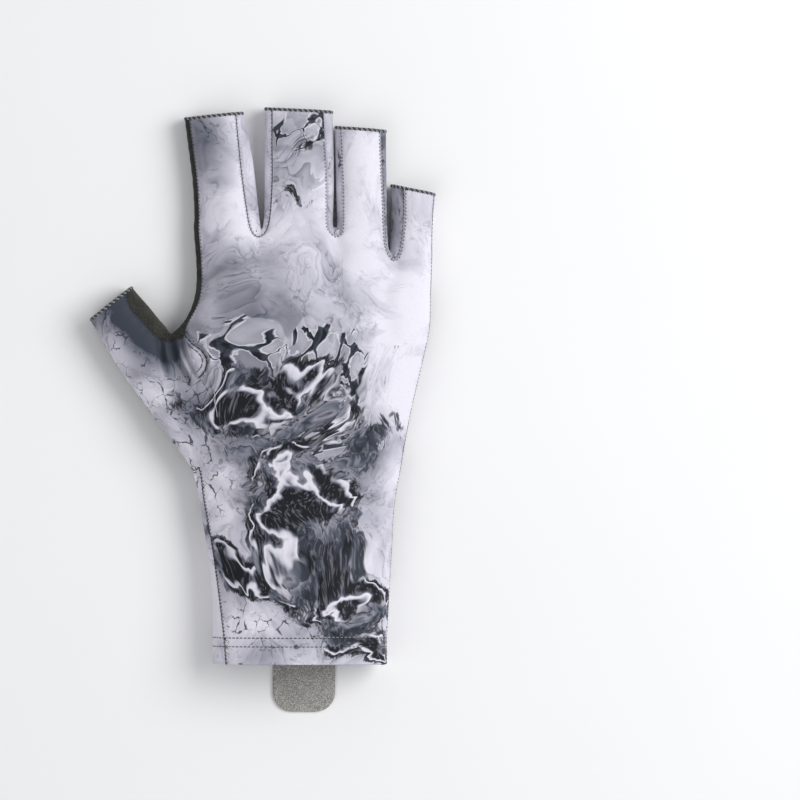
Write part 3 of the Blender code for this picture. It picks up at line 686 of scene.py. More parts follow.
def seam_dressing(points, normals, seam_points, run_of):
    """The cloth dips towards its seams and puckers along them."""
    index, away = nearest(tree_of(points[seam_points]), points, SEAM_REACH)
    near = index >= 0
    run = np.zeros(len(points))
    run[near] = run_of[index[near]]
    dip = VALLEY_DEPTH * np.exp(-((away / VALLEY_WIDTH) ** 2))
    wave = np.sin(2.0 * pi * run / PUCKER_STEP + PUCKER_SWAY * np.sin(run / PUCKER_DRIFT))
    pucker = PUCKER_DEPTH * wave * np.exp(-((away / PUCKER_WIDTH) ** 2)) * smooth(away, 0.0, PUCKER_START)
    return points - normals * ((dip + pucker) * near)[:, None]


HEM_ROWS = (10.2, 6.9)
HEM_GROOVE, HEM_GROOVE_WIDTH = 0.24, 0.85
HEM_RIPPLE, HEM_RIPPLE_DEPTH, HEM_ABOVE, HEM_BELOW, BELOW_SHARE = 0.10, 3.0, 12.7, 2.0, 0.8
HEM_RIPPLE_STEP, HEM_RIPPLE_DRIFT, HEM_RIPPLE_SWAY = 6.3, 9.0, 1.7


def hem_grooves(points, normals):
    """The cloth is drawn in along the two rows of hem stitches, and ripples a little below and above them."""
    x, y = points[:, 0], points[:, 1]
    press = sum(HEM_GROOVE * np.exp(-(((y - row) / HEM_GROOVE_WIDTH) ** 2)) for row in HEM_ROWS)
    sway = HEM_RIPPLE_SWAY * np.sin(x / HEM_RIPPLE_DRIFT)
    ripple = HEM_RIPPLE * np.sin(x * 2.0 * pi / HEM_RIPPLE_STEP + sway)
    above, below = (np.exp(-(((y - at) / HEM_RIPPLE_DEPTH) ** 2)) for at in (HEM_ABOVE, HEM_BELOW))
    return points - normals * (press + ripple * (above + BELOW_SHARE * below))[:, None]


def seam_runs(points, faces, panel_of):
    """Points on seams between panels, and how far along its seam each one lies."""
    a, b = directed_edges(faces)
    size = len(points)
    owner = np.repeat(panel_of, 4).tolist()
    key = dict(zip((a * size + b).tolist(), owner))
    links = {}
    for code, panel in key.items():
        u, v = divmod(code, size)
        if key.get(v * size + u, panel) != panel:
            links.setdefault(u, set()).add(v)
            links.setdefault(v, set()).add(u)
    run, seen = {}, set()
    for start in sorted(links, key=lambda u: (len(links[u]) == 2, u)):
        for first in sorted(links[start]):
            if (start, first) in seen:
                continue
            u, v, along = start, first, 0.0
            run.setdefault(u, 0.0)
            while True:
                seen.update(((u, v), (v, u)))
                along += float(np.linalg.norm(points[v] - points[u]))
                if v in run:
                    break
                run[v] = along
                onward = [w for w in links[v] if (v, w) not in seen]
                if len(links[v]) != 2 or not onward:
                    break
                u, v = v, onward[0]
    index = np.array(sorted(run))
    return index, np.array([run[i] for i in index.tolist()])


def seam_chains(faces, panel_of, first, second):
    """The seams between two panels, each as points in the direction that has the first panel on its left."""
    a, b = directed_edges(faces)
    owner = np.repeat(panel_of, 4)
    size = int(faces.max()) + 1
    theirs = owner == PANELS.index(second)
    shared = (owner == PANELS.index(first)) & np.isin(a * size + b, (b * size + a)[theirs])
    onward = dict(zip(a[shared].tolist(), b[shared].tolist()))
    chains = []
    for start in sorted(set(onward) - set(onward.values())):
        chain = [start]
        while chain[-1] in onward:
            chain.append(onward.pop(chain[-1]))
        chains.append(np.array(chain))
    return chains


def beside(points, normals, chain, off, lift=0.0):
    """A line on the cloth next to a seam, on its left; on its right where off is below zero."""
    across = unit(np.cross(normals[chain], np.gradient(points[chain], axis=0)))
    return points[chain] + across * off + normals[chain] * lift, normals[chain]


WEB_ROUNDS, WEB_SPAN, WEB_REACH = 60, 7.0, 2.6


def rounded_webs(points, chains):
    """Makes the seam round each crotch a U, without moving its lowest point."""
    shape = points.copy()
    for chain in chains:
        line = points[chain]
        lowest = int(np.argmin(line[:, 1]))
        even = line.copy()
        for _ in range(WEB_ROUNDS):
            even[1:-1] = (even[:-2] + 2.0 * even[1:-1] + even[2:]) / 4.0
        move = even - line
        move[:, 1] -= move[lowest, 1]
        along = distances(line)
        move *= np.exp(-(((along - along[lowest]) / WEB_SPAN) ** 2))[:, None]
        index, away = nearest(tree_of(line), points, 3.0 * WEB_REACH)
        near = index >= 0
        shape[near] += move[index[near]] * np.exp(-((away[near] / WEB_REACH) ** 2))[:, None]
    return shape


# How the cloth rolls into a seam: distance from the seam and depth below the surface, and its reach
ROLL = ((0.42, 0.00), (0.24, 0.05), (0.12, 0.17), (0.06, 0.38), (0.06, 0.62))
ROLL_LIMIT = 0.9
SEAM_ROOM = 1.6


def roomy(points, normals, faces, loops):
    """Moves a panel's points off its border, so that the rolled edge has room."""
    border = np.concatenate(loops)
    inward = np.vstack([inward_at(points, normals, loop) for loop in loops])
    used = np.unique(faces)
    index, away = nearest(tree_of(points[border]), points[used], SEAM_ROOM)
    near = index >= 0
    moved = points.copy()
    share = 1.0 - away[near] / SEAM_ROOM
    moved[used[near]] += inward[index[near]] * (ROLL[0][0] * share)[:, None]
    moved[border] = points[border] + inward * ROLL[0][0]
    return moved


def sewn_panel(name, cloth, faces, inner_faces, materials):
    """A panel of cloth with rolled edges: its outside, its edges and its plain inside."""
    points, normals, wall = cloth
    loops = border_loops(faces)
    inner_at = len(points)
    vertices = [roomy(points, normals, faces, loops), points - normals * wall[:, None]]
    count = 2 * len(points)
    outside = [tuple(f) for f in faces.tolist()]
    inside = [tuple(inner_at + i for i in reversed(f)) for f in inner_faces.tolist()]
    edges = []
    inner_border = {i for loop in border_loops(inner_faces) for i in loop.tolist()}
    for loop in loops:
        inward = inward_at(points, normals, loop)
        n = len(loop)
        before = loop.tolist()
        for d, h in ROLL[1:]:
            depth = np.minimum(h, wall[loop] * ROLL_LIMIT)[:, None]
            vertices.append(points[loop] + inward * d - normals[loop] * depth)
            ring = list(range(count, count + n))
            count += n
            edges += strip(ring, before)
            before = ring
        stops = [j for j in range(n) if int(loop[j]) in inner_border]
        for s, e in zip(stops, stops[1:] + [stops[0] + n]):
            chain = [before[j % n] for j in range(s, e + 1)]
            edges.append((*reversed(chain), inner_at + int(loop[s]), inner_at + int(loop[e % n])))
    everything = np.vstack(vertices)
    polygons = outside + inside + edges
    slots = [0] * len(outside) + [1] * len(inside) + [0] * len(edges)
    used = np.unique(np.concatenate([np.array(p) for p in polygons]))
    number = np.full(len(everything), -1)
    number[used] = np.arange(len(used))
    polygons = [tuple(number[list(p)].tolist()) for p in polygons]
    return new_piece(name, everything[used], polygons, materials, slots)


def around(paths, across, up, radius, sides):
    """A ring of points about each point of some paths."""
    turn = (np.arange(sides) * 2.0 * pi / sides)[:, None]
    ring = across[..., None, :] * np.cos(turn) + up[..., None, :] * np.sin(turn)
    return (paths[..., None, :] + radius * ring).reshape(-1, 3)


def tubes(paths, ups, radius, sides=6):
    """Closed round tubes along many paths of equal length: arrays of paths, of points, of coordinates."""
    many, steps, _ = paths.shape
    run = unit(np.gradient(paths, axis=1))
    across = unit(np.cross(run, ups))
    faces = []
    for m in range(many):
        ends = [range((m * steps + s) * sides, (m * steps + s + 1) * sides) for s in range(steps)]
        for ring, after in zip(ends, ends[1:]):
            faces += strip(ring, after)
        faces += [tuple(reversed(ends[0])), tuple(ends[-1])]
    return around(paths, across, np.cross(across, run), radius, sides), faces


def smooth_path(corners, steps):
    """Points along a smooth open line through some corners in the plane."""
    corners = np.array(corners)
    ends = np.vstack((2.0 * corners[:1] - corners[1:2], corners, 2.0 * corners[-1:] - corners[-2:-1]))
    made = []
    for at in np.linspace(0.0, len(corners) - 1.0, steps):
        i = min(int(at), len(corners) - 2)
        t = at - i
        a, b, c, d = ends[i:i + 4]
        made.append(0.5 * (2.0 * b + (c - a) * t + (2.0 * a - 5.0 * b + 4.0 * c - d) * t ** 2
                           + (3.0 * b - a - 3.0 * c + d) * t ** 3))
    return np.array(made)


# A stitch: shares of its length and height above the cloth, for a thread of STITCH_RADIUS
STITCH = np.array(((0.00, -0.22), (0.16, 0.06), (0.38, 0.13), (0.62, 0.13), (0.84, 0.06), (1.00, -0.22)))
STITCH_RADIUS = 0.17
STITCH_FINENESS = 0.25


def stitches(line, normals, length, gap, radius, jitter, seed):
    """Threads of one row of stitches along a line on the cloth."""
    along = distances(line)
    at = np.linspace(0.0, along[-1], max(int(along[-1] / STITCH_FINENESS), 1) + 1)
    fine, ns = interpolated(at, along, line), unit(interpolated(at, along, normals))
    along = distances(fine)
    count = int(along[-1] / (length + gap))
    if count < 1:
        return None
    pitch = along[-1] / count
    rng = np.random.default_rng(seed)
    start = (np.arange(count) + 0.5 * gap / (length + gap)) * pitch
    start = start + rng.uniform(-jitter, jitter, count)
    at = start[:, None] + STITCH[:, 0] * length * pitch / (length + gap)
    up = unit(interpolated(at, along, ns))
    path = interpolated(at, along, fine) + up * (STITCH[:, 1] * radius / STITCH_RADIUS)[:, None]
    return tubes(path, up, radius)


class Threads:
    """Gathers rows of stitches of one colour into one piece."""

    def __init__(self, name, material):
        self.name, self.material = name, material
        self.points, self.faces, self.count = [], [], 0

    def add(self, made):
        if made is None:
            return
        points, faces = made
        self.points.append(points)
        self.faces += [tuple(i + self.count for i in f) for f in faces]
        self.count += len(points)

    def piece(self):
        return new_piece(self.name, np.vstack(self.points), self.faces, [self.material])


ROPE_STEPS, ROPE_SIDES = 10, 7


def rope(points, normals, out, radius, spread, pitch, phase, lift):
    """One strand of a two-ply cord that follows a closed loop."""
    count = int(round(np.linalg.norm(np.roll(points, -1, axis=0) - points, axis=1).sum() / pitch))
    closed, closed_n, closed_out = (np.vstack((values, values[:1])) for values in (points, normals, out))
    along = distances(closed)
    steps = count * ROPE_STEPS
    at = np.arange(steps) * along[-1] / steps
    n, out = unit(interpolated(at, along, closed_n)), unit(interpolated(at, along, closed_out))
    turn = (2.0 * pi * at / along[-1] * count + phase)[:, None]
    centre = interpolated(at, along, closed) + out * lift
    line = centre + spread * (n * np.cos(turn) + out * np.sin(turn))
    tangent = unit(np.roll(line, -1, axis=0) - np.roll(line, 1, axis=0))
    side = unit(np.cross(tangent, unit(line - centre)))
    made = around(line, side, np.cross(side, tangent), radius, ROPE_SIDES)
    ends = [range(s * ROPE_SIDES, (s + 1) * ROPE_SIDES) for s in range(steps)]
    faces = [face for ring, after in zip(ends, ends[1:] + ends[:1]) for face in strip(ring, after)]
    return made, faces


def smooth_outline(points):
    """An outline as a close polygon: straight at its corners, smooth through its other points."""
    curve = bpy.data.curves.new("outline", "CURVE")
    curve.dimensions = "2D"
    curve.fill_mode = "NONE"
    curve.resolution_u = 12
    spline = curve.splines.new("BEZIER")
    spline.bezier_points.add(len(points) - 1)
    spline.use_cyclic_u = True
    for bezier, (x, y, corner) in zip(spline.bezier_points, points):
        bezier.co = (x, y, 0.0)
        bezier.handle_left_type = bezier.handle_right_type = "VECTOR" if corner else "AUTO"
    drawn = bpy.data.objects.new("outline", curve)
    bpy.context.scene.collection.objects.link(drawn)
    mesh = bpy.data.meshes.new_from_object(drawn.evaluated_get(bpy.context.evaluated_depsgraph_get()))
    line = np.array([tuple(v.co)[:2] for v in mesh.vertices])
    bpy.data.objects.remove(drawn)
    bpy.data.curves.remove(curve)
    bpy.data.meshes.remove(mesh)
    return line


def thinned(line, gap):
    """A line without the points that lie closer than a gap to the last one kept."""
    keep = [0]
    for i in range(1, len(line)):
        if np.linalg.norm(line[i] - line[keep[-1]]) > gap:
            keep.append(i)
    return line[keep]


STEP_LEAST = 0.45


def evened(line, step):
    """A closed polygon with points at even steps along each of its sides."""
    made = []
    for a, b in zip(line, np.roll(line, -1, axis=0)):
        count = max(int(round(np.linalg.norm(b - a) / step)), 1)
        made += [a + (b - a) * k / count for k in range(count)]
    made = thinned(np.array(made), STEP_LEAST * step)
    return made[:-1] if np.linalg.norm(made[-1] - made[0]) < STEP_LEAST * step else made


def inset(line, by):
    """A counter-clockwise polygon moved inwards by a distance, with mitred corners."""
    run = unit(np.roll(line, -1, axis=0) - line)
    after = np.stack((-run[:, 1], run[:, 0]), axis=1)
    before = np.roll(after, 1, axis=0)
    dot = np.clip((after * before).sum(axis=1), FLAT_MITRE, 1.0)
    return line + by * (after + before) / (1.0 + dot)[:, None]


def signed_area(line):
    after = np.roll(line, -1, axis=0)
    return 0.5 * float((line[:, 0] * after[:, 1] - line[:, 1] * after[:, 0]).sum())


def inside_by(points, line):
    """How far inside a closed polygon each point lies; below zero outside."""
    best = np.full(len(points), 1e9)
    crossings = np.zeros(len(points), dtype=int)
    for (ax, ay), (dx, dy) in zip(line, np.roll(line, -1, axis=0) - line):
        px, py = points[:, 0] - ax, points[:, 1] - ay
        t = np.clip((px * dx + py * dy) / max(dx * dx + dy * dy, 1e-12), 0.0, 1.0)
        best = np.minimum(best, np.hypot(px - t * dx, py - t * dy))
        spans = (ay > points[:, 1]) != (ay + dy > points[:, 1])
        safe = dy if abs(dy) > 1e-12 else 1e-12
        crossings += spans & (points[:, 0] < ax + (points[:, 1] - ay) * dx / safe)
    return np.where(crossings % 2 == 1, best, -best)


BELOW = -20.0


class Underside:
    """Finds the palm's cloth below a place in the plane."""

    def __init__(self, points, faces):
        self.tree = BVHTree.FromPolygons(points.tolist(), faces.tolist())

    def at(self, line):
        spots, normals, hits = [], [], []
        for x, y in line.tolist():
            spot, normal, _, _ = self.tree.ray_cast((x, y, BELOW), (0.0, 0.0, 1.0))
            hits.append(spot is not None)
            if spot is None:
                spot, normal, _, _ = self.tree.find_nearest((x, y, REST))
            spots.append(tuple(spot))
            normals.append(tuple(-normal if normal.z > 0.0 else normal))
        return np.array(spots), np.array(normals), np.array(hits)


class Flat:
    """A level stand-in for the palm's cloth, for what lies clear of it."""

    def __init__(self, height):
        self.height = height

    def at(self, line):
        spots = np.column_stack((line, np.full(len(line), self.height)))
        return spots, np.tile((0.0, 0.0, -1.0), (len(line), 1)), np.ones(len(line), dtype=bool)


CLIP_STEP, CLIP_GAP, CLIP_FACING = 0.4, 0.25, -0.55


def clipped(line, surface):
    """The outline without what lies past the cloth's own edge, where the cloth turns up."""
    line = evened(line, CLIP_STEP)
    spots, normals, hits = surface.at(line)
    moved = np.where(hits[:, None], line, spots[:, :2])
    return thinned(moved[normals[:, 2] < CLIP_FACING], CLIP_GAP)


def cut_round(line, edge):
    """An outline that follows the edge of the gap between two fingers instead of crossing the gap."""
    line = evened(line, CLIP_STEP)
    past = inside_by(line, edge) > 0.0
    start = next((i for i in range(len(line)) if past[i - 1] and not past[i]), 0)
    line, past = np.roll(line, -start, axis=0), np.roll(past, -start)
    made = []
    entry = None
    for k in range(len(line) + 1):
        if k < len(line) and past[k]:
            entry = k - 1 if entry is None else entry
            continue
        if entry is not None:
            ends = (line[entry], line[k % len(line)])
            first, last = (int(np.argmin(np.linalg.norm(edge - end, axis=1))) for end in ends)
            made += list(edge[first:last + 1] if first <= last else edge[last:first + 1][::-1])
            entry = None
        if k < len(line):
            made.append(line[k])
    return np.array(made)


PATCH_LIFT = 0.05
PATCH_FACE = 1.08
PATCH_STEP = 0.55
PATCH_SLACK = 0.3
# Points inside a patch: their distance, that of their rows and how far they keep off the edge
LATTICE, LATTICE_ROW, LATTICE_CLEAR = 1.1, 1.1 * 0.866, 0.45 * 1.1
SAME_POINT = 1e-5
CORNER_ROUNDS = 6
# The edge of a patch from its cloth side to its face: distance inwards and share of its thickness
PATCH_EDGE = ((0.00, 0.05), (0.00, 0.72), (0.10, 0.95), (0.32, 1.00))


def patch(name, outline, surface, material, face=PATCH_FACE):
    """A patch sewn under the palm: a sheet with a rounded edge that follows the cloth."""
    line = evened(clipped(outline, surface), PATCH_STEP)
    for _ in range(CORNER_ROUNDS):
        line = (np.roll(line, 1, axis=0) + 2.0 * line + np.roll(line, -1, axis=0)) / 4.0
    line = evened(line, PATCH_STEP)
    if signed_area(line) < 0.0:
        line = line[::-1]
    rings = [inset(line, d) for d, _ in PATCH_EDGE]
    low, high = line.min(axis=0), line.max(axis=0)
    grid = np.array([(x + (k % 2) * LATTICE / 2.0, y)
                     for k, y in enumerate(np.arange(low[1], high[1], LATTICE_ROW))
                     for x in np.arange(low[0], high[0], LATTICE)])
    grid = grid[inside_by(grid, rings[-1]) > LATTICE_CLEAR]
    count = len(line)
    sites = [Vector(p) for p in rings[-1].tolist() + grid.tolist()]
    found = delaunay_2d_cdt(sites, [], [list(range(count))], 1, SAME_POINT)
    plane = np.array([tuple(v) for v in found[0]])
    place_of = {source: made for made, sources in enumerate(found[3]) for source in sources}
    rim = [place_of[i] for i in range(count)]
    spots, normals, _ = surface.at(plane)
    face_points = spots + normals * face
    face_points[:, 2] = np.maximum(face_points[:, 2], REST - PATCH_FACE - PATCH_SLACK)
    vertices = [face_points, spots + normals * PATCH_LIFT]
    total = 2 * len(plane)
    polygons = [tuple(reversed(triangle)) for triangle in found[2]]
    polygons += [tuple(len(plane) + i for i in triangle) for triangle in found[2]]
    before = rim
    for ring, (_, share) in reversed(list(zip(rings, PATCH_EDGE))[:-1]):
        ring_spots, ring_normals, _ = surface.at(ring)
        vertices.append(ring_spots + ring_normals * mix(PATCH_LIFT, face, share))
        now = list(range(total, total + count))
        total += count
        polygons += strip(before, now)
        before = now
    polygons += strip(before, [len(plane) + i for i in rim])
    return new_piece(name, np.vstack(vertices), polygons, [material]), line


SCALE_WIDTH, SCALE_STEP, SCALE_RISE = 4.1, 2.25, 2.45
SCALE_BORDER, SCALE_RADIUS, SCALE_SUNK = 1.35, 0.32, 0.02
ARCH_POINTS, ARCH_LEAST, ARCH_STEPS = 25, 6, 10


def runs(flags):
    """Start and end of each unbroken run of true flags."""
    edges = np.flatnonzero(np.diff(np.concatenate(([0], flags.astype(int), [0]))))
    return edges.reshape(-1, 2)


def scale_arcs(name, line, surface, material, slant):
    """Raised fish scales inside a patch's outline, each a round arch."""
    low, high = line.min(axis=0), line.max(axis=0)
    turn = np.linspace(0.0, pi, ARCH_POINTS)
    arch = np.stack((0.5 * SCALE_WIDTH * np.cos(turn), SCALE_RISE * np.sin(turn)), axis=1)
    tilt = radians(slant)
    spin = np.array(((cos(tilt), -sin(tilt)), (sin(tilt), cos(tilt))))
    reach = float(np.linalg.norm(high - low)) / 2.0
    up_to, out_to = int(reach / SCALE_STEP) + 2, int(reach / SCALE_WIDTH) + 2
    arches = []
    for r in range(-up_to, up_to + 1):
        for c in range(-out_to, out_to + 1):
            centre = np.array(((c + 0.5 * (r % 2)) * SCALE_WIDTH, r * SCALE_STEP))
            arches.append((low + high) / 2.0 + (arch + centre) @ spin.T)
    within = (inside_by(np.vstack(arches), line) > SCALE_BORDER).reshape(len(arches), ARCH_POINTS)
    many, ups = [], []
    for path, inside in zip(arches, within):
        for start, end in runs(inside):
            if end - start < ARCH_LEAST:
                continue
            share = np.linspace(0.0, end - start - 1.0, ARCH_STEPS)
            spots, normals, _ = surface.at(interpolated(share, np.arange(end - start), path[start:end]))
            many.append(spots + normals * (PATCH_FACE - SCALE_SUNK))
            ups.append(normals)
    points, faces = tubes(np.array(many), np.array(ups), SCALE_RADIUS)
    points[:, 2] = np.maximum(points[:, 2], 0.0)
    return new_piece(name, points, faces, [material])


def arc(centre, radius, first, last, steps):
    angles = [radians(mix(first, last, i / steps)) for i in range(steps + 1)]
    return [(centre[0] + radius * cos(a), centre[1] + radius * sin(a)) for a in angles]


HEAD_STEPS, CORNER_STEPS = 28, 10


def tab_outline():
    half, neck = TAB_TONGUE_WIDTH / 2.0, TAB_NECK_WIDTH / 2.0
    corner = half - TAB_CORNER
    low = TAB_CORNER - TAB_TONGUE_LENGTH
    neck_angle = degrees(asin(neck / TAB_HEAD_RADIUS))
    head = arc((0.0, TAB_HEAD_RISE), TAB_HEAD_RADIUS, neck_angle - 90.0, 270.0 - neck_angle, HEAD_STEPS)
    left = [(-half, 0.0), *arc((-corner, low), TAB_CORNER, 180.0, 270.0, CORNER_STEPS)]
    right = [*arc((corner, low), TAB_CORNER, 270.0, 360.0, CORNER_STEPS), (half, 0.0)]
    return np.array(head + left + right) + np.array((TAB_ACROSS * PALM_WIDTH, 0.0))


def placed_outline(outline, centre, width, length):
    x, y = centre[0] * PALM_WIDTH, centre[1] * BODY_LENGTH
    return smooth_outline([(x + p.across * width, y + p.along * length, p.sharp) for p in outline])


BAND_INSET = 0.4


def band_outline(band):
    finger = FINGERS[band.finger]
    row = min(finger.rows, key=lambda r: abs(r.along - band.along))
    x = row.centre * PALM_WIDTH
    share = row.right_seam - UNDER_SEAM_SHIFT
    left = x + (row.under_left - 0.5) * finger.width * row.width + BAND_INSET
    right = x + (share - 0.5) * finger.width * row.width - BAND_INSET
    root = BODY_LENGTH * mix(finger.root_left, finger.root_right, 0.5)
    y = root + band.along * finger.length
    low, high = y - band.width / 2.0, y + band.width / 2.0
    return smooth_outline([(left, low, True), (right, low, True), (right, high, True), (left, high, True)])


class Signal:
    """A number or vector in a material's nodes, with arithmetic."""

    def __init__(self, graph, socket):
        self.graph, self.socket = graph, socket

    def __add__(self, other):
        return self.graph.math("ADD", self, other)

    def __sub__(self, other):
        return self.graph.math("SUBTRACT", self, other)

    def __rsub__(self, other):
        return self.graph.math("SUBTRACT", other, self)

    def __mul__(self, other):
        return self.graph.math("MULTIPLY", self, other)

    def __pow__(self, other):
        return self.graph.math("POWER", self, other)

    def abs(self):
        return self.graph.math("ABSOLUTE", self)

    def step(self, low, high, first=0.0, last=1.0):
        """first below low, last above high, and a smooth turn between."""
        inputs = dict(enumerate((self, low, high, first, last)))
        return self.graph.node("MapRange", "Result", inputs, interpolation_type="SMOOTHSTEP")


class Graph:
    """A material whose nodes are written as expressions. Lengths in its textures are millimetres."""

    def __init__(self, name, roughness=0.8, sheen=0.0, sheen_roughness=0.5, specular=0.5):
        self.material = bpy.data.materials.new(name)
        self.material.use_nodes = True
        self.tree = self.material.node_tree
        self.shader = self.tree.nodes["Principled BSDF"]
        self.fill(self.shader, {"Roughness": roughness, "Sheen Weight": sheen,
                                "Sheen Roughness": sheen_roughness, "Specular IOR Level": specular})
        self.here = self.node("TexCoord", "Object", {})

    def fill(self, node, inputs):
        for name, value in inputs.items():
            if isinstance(value, Signal):
                self.tree.links.new(value.socket, node.inputs[name])
            elif value is not None:
                node.inputs[name].default_value = value

    def node(self, kind, output, inputs, **settings):
        made = self.tree.nodes.new("ShaderNode" + kind)
        for name, value in settings.items():
            setattr(made, name, value)
        self.fill(made, inputs)
        return Signal(self, made.outputs[output])

    def math(self, operation, a, b=None):
        return self.node("Math", 0, {0: a, 1: b}, operation=operation)

    def vector_math(self, operation, a, b=None, scale=None):
        output = "Value" if operation == "LENGTH" else "Vector"
        return self.node("VectorMath", output, {0: a, 1: b, "Scale": scale}, operation=operation)

    def place(self, offset=(0.0, 0.0, 0.0), scale=(1.0, 1.0, 1.0)):
        """Where a point lies in the tables' frame, in millimetres, times a scale and moved by an offset."""
        location = [-SHIFT[k] * scale[k] + offset[k] for k in range(3)]
        return self.node("Mapping", "Vector",
                         {"Vector": self.here, "Location": location, "Scale": [s / MM for s in scale]})

    def scaled(self, vector, factor):
        return self.vector_math("SCALE", vector, scale=factor)

    def noise(self, vector, size, detail=2.0, rough=0.5, output="Fac"):
        return self.node("TexNoise", output,
                         {"Vector": vector, "Scale": 1.0 / size, "Detail": detail, "Roughness": rough})

    def warped(self, vector, size, reach, detail=2.0):
        """The vector moved about by noise, up to about half of reach."""
        drift = self.noise(vector, size, detail, output="Color")
        drift = self.vector_math("SUBTRACT", drift, (0.5, 0.5, 0.5))
        return self.vector_math("ADD", vector, self.scaled(drift, 2.0 * reach))

    def voronoi(self, vector, size, feature="DISTANCE_TO_EDGE", output="Distance"):
        return self.node("TexVoronoi", output, {"Vector": vector, "Scale": 1.0 / size}, feature=feature)

    def ramp(self, value, stops):
        made = self.node("ValToRGB", "Color", {"Fac": value})
        elements = made.socket.node.color_ramp.elements
        while len(elements) < len(stops):
            elements.new(0.5)
        for element, (at, colour) in zip(elements, stops):
            element.position = at
            element.color = (*colour, 1.0)
        return made

    def blend(self, share, a, b, kind="MIX"):
        a, b = ((*colour, 1.0) if isinstance(colour, tuple) else colour for colour in (a, b))
        inputs = {0: share, 6: a, 7: b}
        return self.node("Mix", 2, inputs, data_type="RGBA", blend_type=kind, clamp_factor=True)

    def bump(self, height, distance, strength=1.0, under=None):
        inputs = {"Strength": strength, "Distance": distance * MM, "Height": height, "Normal": under}
        return self.node("Bump", "Normal", inputs)

    def spot(self, place, x, y, width, length, height=1.0):
        """height at a place, falling softly to nothing at the given half width and half length."""
        off = self.vector_math("SUBTRACT", place, (x, y, 0.0))
        off = self.vector_math("MULTIPLY", off, (1.0 / width, 1.0 / length, 0.0))
        return self.vector_math("LENGTH", off).step(0.0, 1.0, height, 0.0)

    def finish(self, colour, roughness, normal):
        self.fill(self.shader, {"Base Color": colour, "Roughness": roughness, "Normal": normal})
        return self.material


# Colours of the print
WHITE = (0.785, 0.765, 0.845)
PALE = (0.61, 0.595, 0.675)
LAVENDER = (0.445, 0.435, 0.51)
GREY = (0.265, 0.264, 0.312)
BLUE_GREY = (0.135, 0.148, 0.190)
SLATE = (0.045, 0.053, 0.072)
INK = (0.009, 0.011, 0.015)

# Places of the print, in millimetres: how much greyer its ground is there, and how much dark paint and how
# many cells it carries
Zone = namedtuple("Zone", "x y width length grey ink cells")
BACK_ZONES = rows(
    Zone,
    (-36.0, 202.0, 26.0, 30.0, 0.56, 0.22, 0.15), (1.0, 200.0, 24.0, 32.0, 0.50, 0.56, 1.00),
    (-38.0, 174.0, 22.0, 20.0, 0.22, 0.00, 0.00), (-40.0, 150.0, 26.0, 22.0, 0.20, 0.00, 0.00),
    (-14.0, 146.0, 42.0, 26.0, 0.46, 0.00, 0.10), (20.0, 144.0, 24.0, 18.0, 0.20, 0.00, 0.00),
    (-22.0, 126.0, 40.0, 26.0, 0.50, 0.16, 0.60), (12.0, 122.0, 30.0, 24.0, 0.46, 0.08, 0.75),
    (-66.0, 138.0, 30.0, 26.0, 1.10, 0.22, 0.00), (-34.0, 98.0, 24.0, 12.0, 0.50, 0.50, 0.00),
    (-52.0, 118.0, 22.0, 20.0, 0.82, 0.20, 0.00), (-40.0, 117.0, 8.0, 9.0, -0.45, -0.30, 0.00),
    (46.0, 172.0, 18.0, 24.0, 0.26, 0.00, 0.10), (0.0, 178.0, 22.0, 16.0, 0.22, 0.00, 0.00),
    (-22.0, 106.0, 30.0, 22.0, 0.56, 0.58, 0.75), (4.0, 104.0, 34.0, 20.0, 0.44, 0.34, 0.80),
    (28.0, 86.0, 24.0, 20.0, 0.40, 0.36, 0.45), (-48.0, 84.0, 34.0, 34.0, 0.20, 0.00, 0.00),
    (-18.0, 90.0, 30.0, 24.0, 0.58, 0.46, 0.40), (14.0, 80.0, 34.0, 28.0, 0.50, 0.52, 0.45),
    (-6.0, 60.0, 26.0, 30.0, 0.46, 0.14, 0.10), (6.0, 54.0, 32.0, 28.0, 0.54, 0.72, 0.10),
    (28.0, 48.0, 26.0, 36.0, 0.36, 0.48, 0.10), (-30.0, 44.0, 22.0, 22.0, 0.26, 0.36, 0.00),
    (-6.0, 68.0, 26.0, 20.0, 0.50, 0.50, 0.20), (-20.0, 28.0, 26.0, 18.0, 0.30, 0.40, 0.00),
    (2.0, 32.0, 32.0, 20.0, 0.34, 0.62, 0.00), (26.0, 18.0, 26.0, 20.0, 0.30, 0.60, 0.00),
    (-14.0, 5.0, 24.0, 14.0, 0.46, 0.46, 0.10), (6.0, 14.0, 22.0, 16.0, 0.46, 0.44, 0.10),
    (24.0, 4.0, 26.0, 14.0, 0.44, 0.56, 0.00),
)
PALM_ZONES = rows(
    Zone,
    (-30.0, 196.0, 40.0, 30.0, 0.44, 0.20, 0.50), (30.0, 190.0, 40.0, 34.0, 0.30, 0.10, 0.20),
    (-24.0, 140.0, 50.0, 34.0, 0.40, 0.10, 0.40), (30.0, 128.0, 34.0, 30.0, 0.34, 0.20, 0.40),
    (-50.0, 110.0, 34.0, 34.0, 0.55, 0.30, 0.10), (-4.0, 104.0, 44.0, 32.0, 0.50, 0.52, 0.50),
    (20.0, 70.0, 36.0, 34.0, 0.46, 0.56, 0.30), (-20.0, 60.0, 36.0, 36.0, 0.46, 0.34, 0.10),
    (10.0, 36.0, 44.0, 26.0, 0.40, 0.56, 0.00), (-10.0, 8.0, 44.0, 20.0, 0.30, 0.20, 0.00),
)
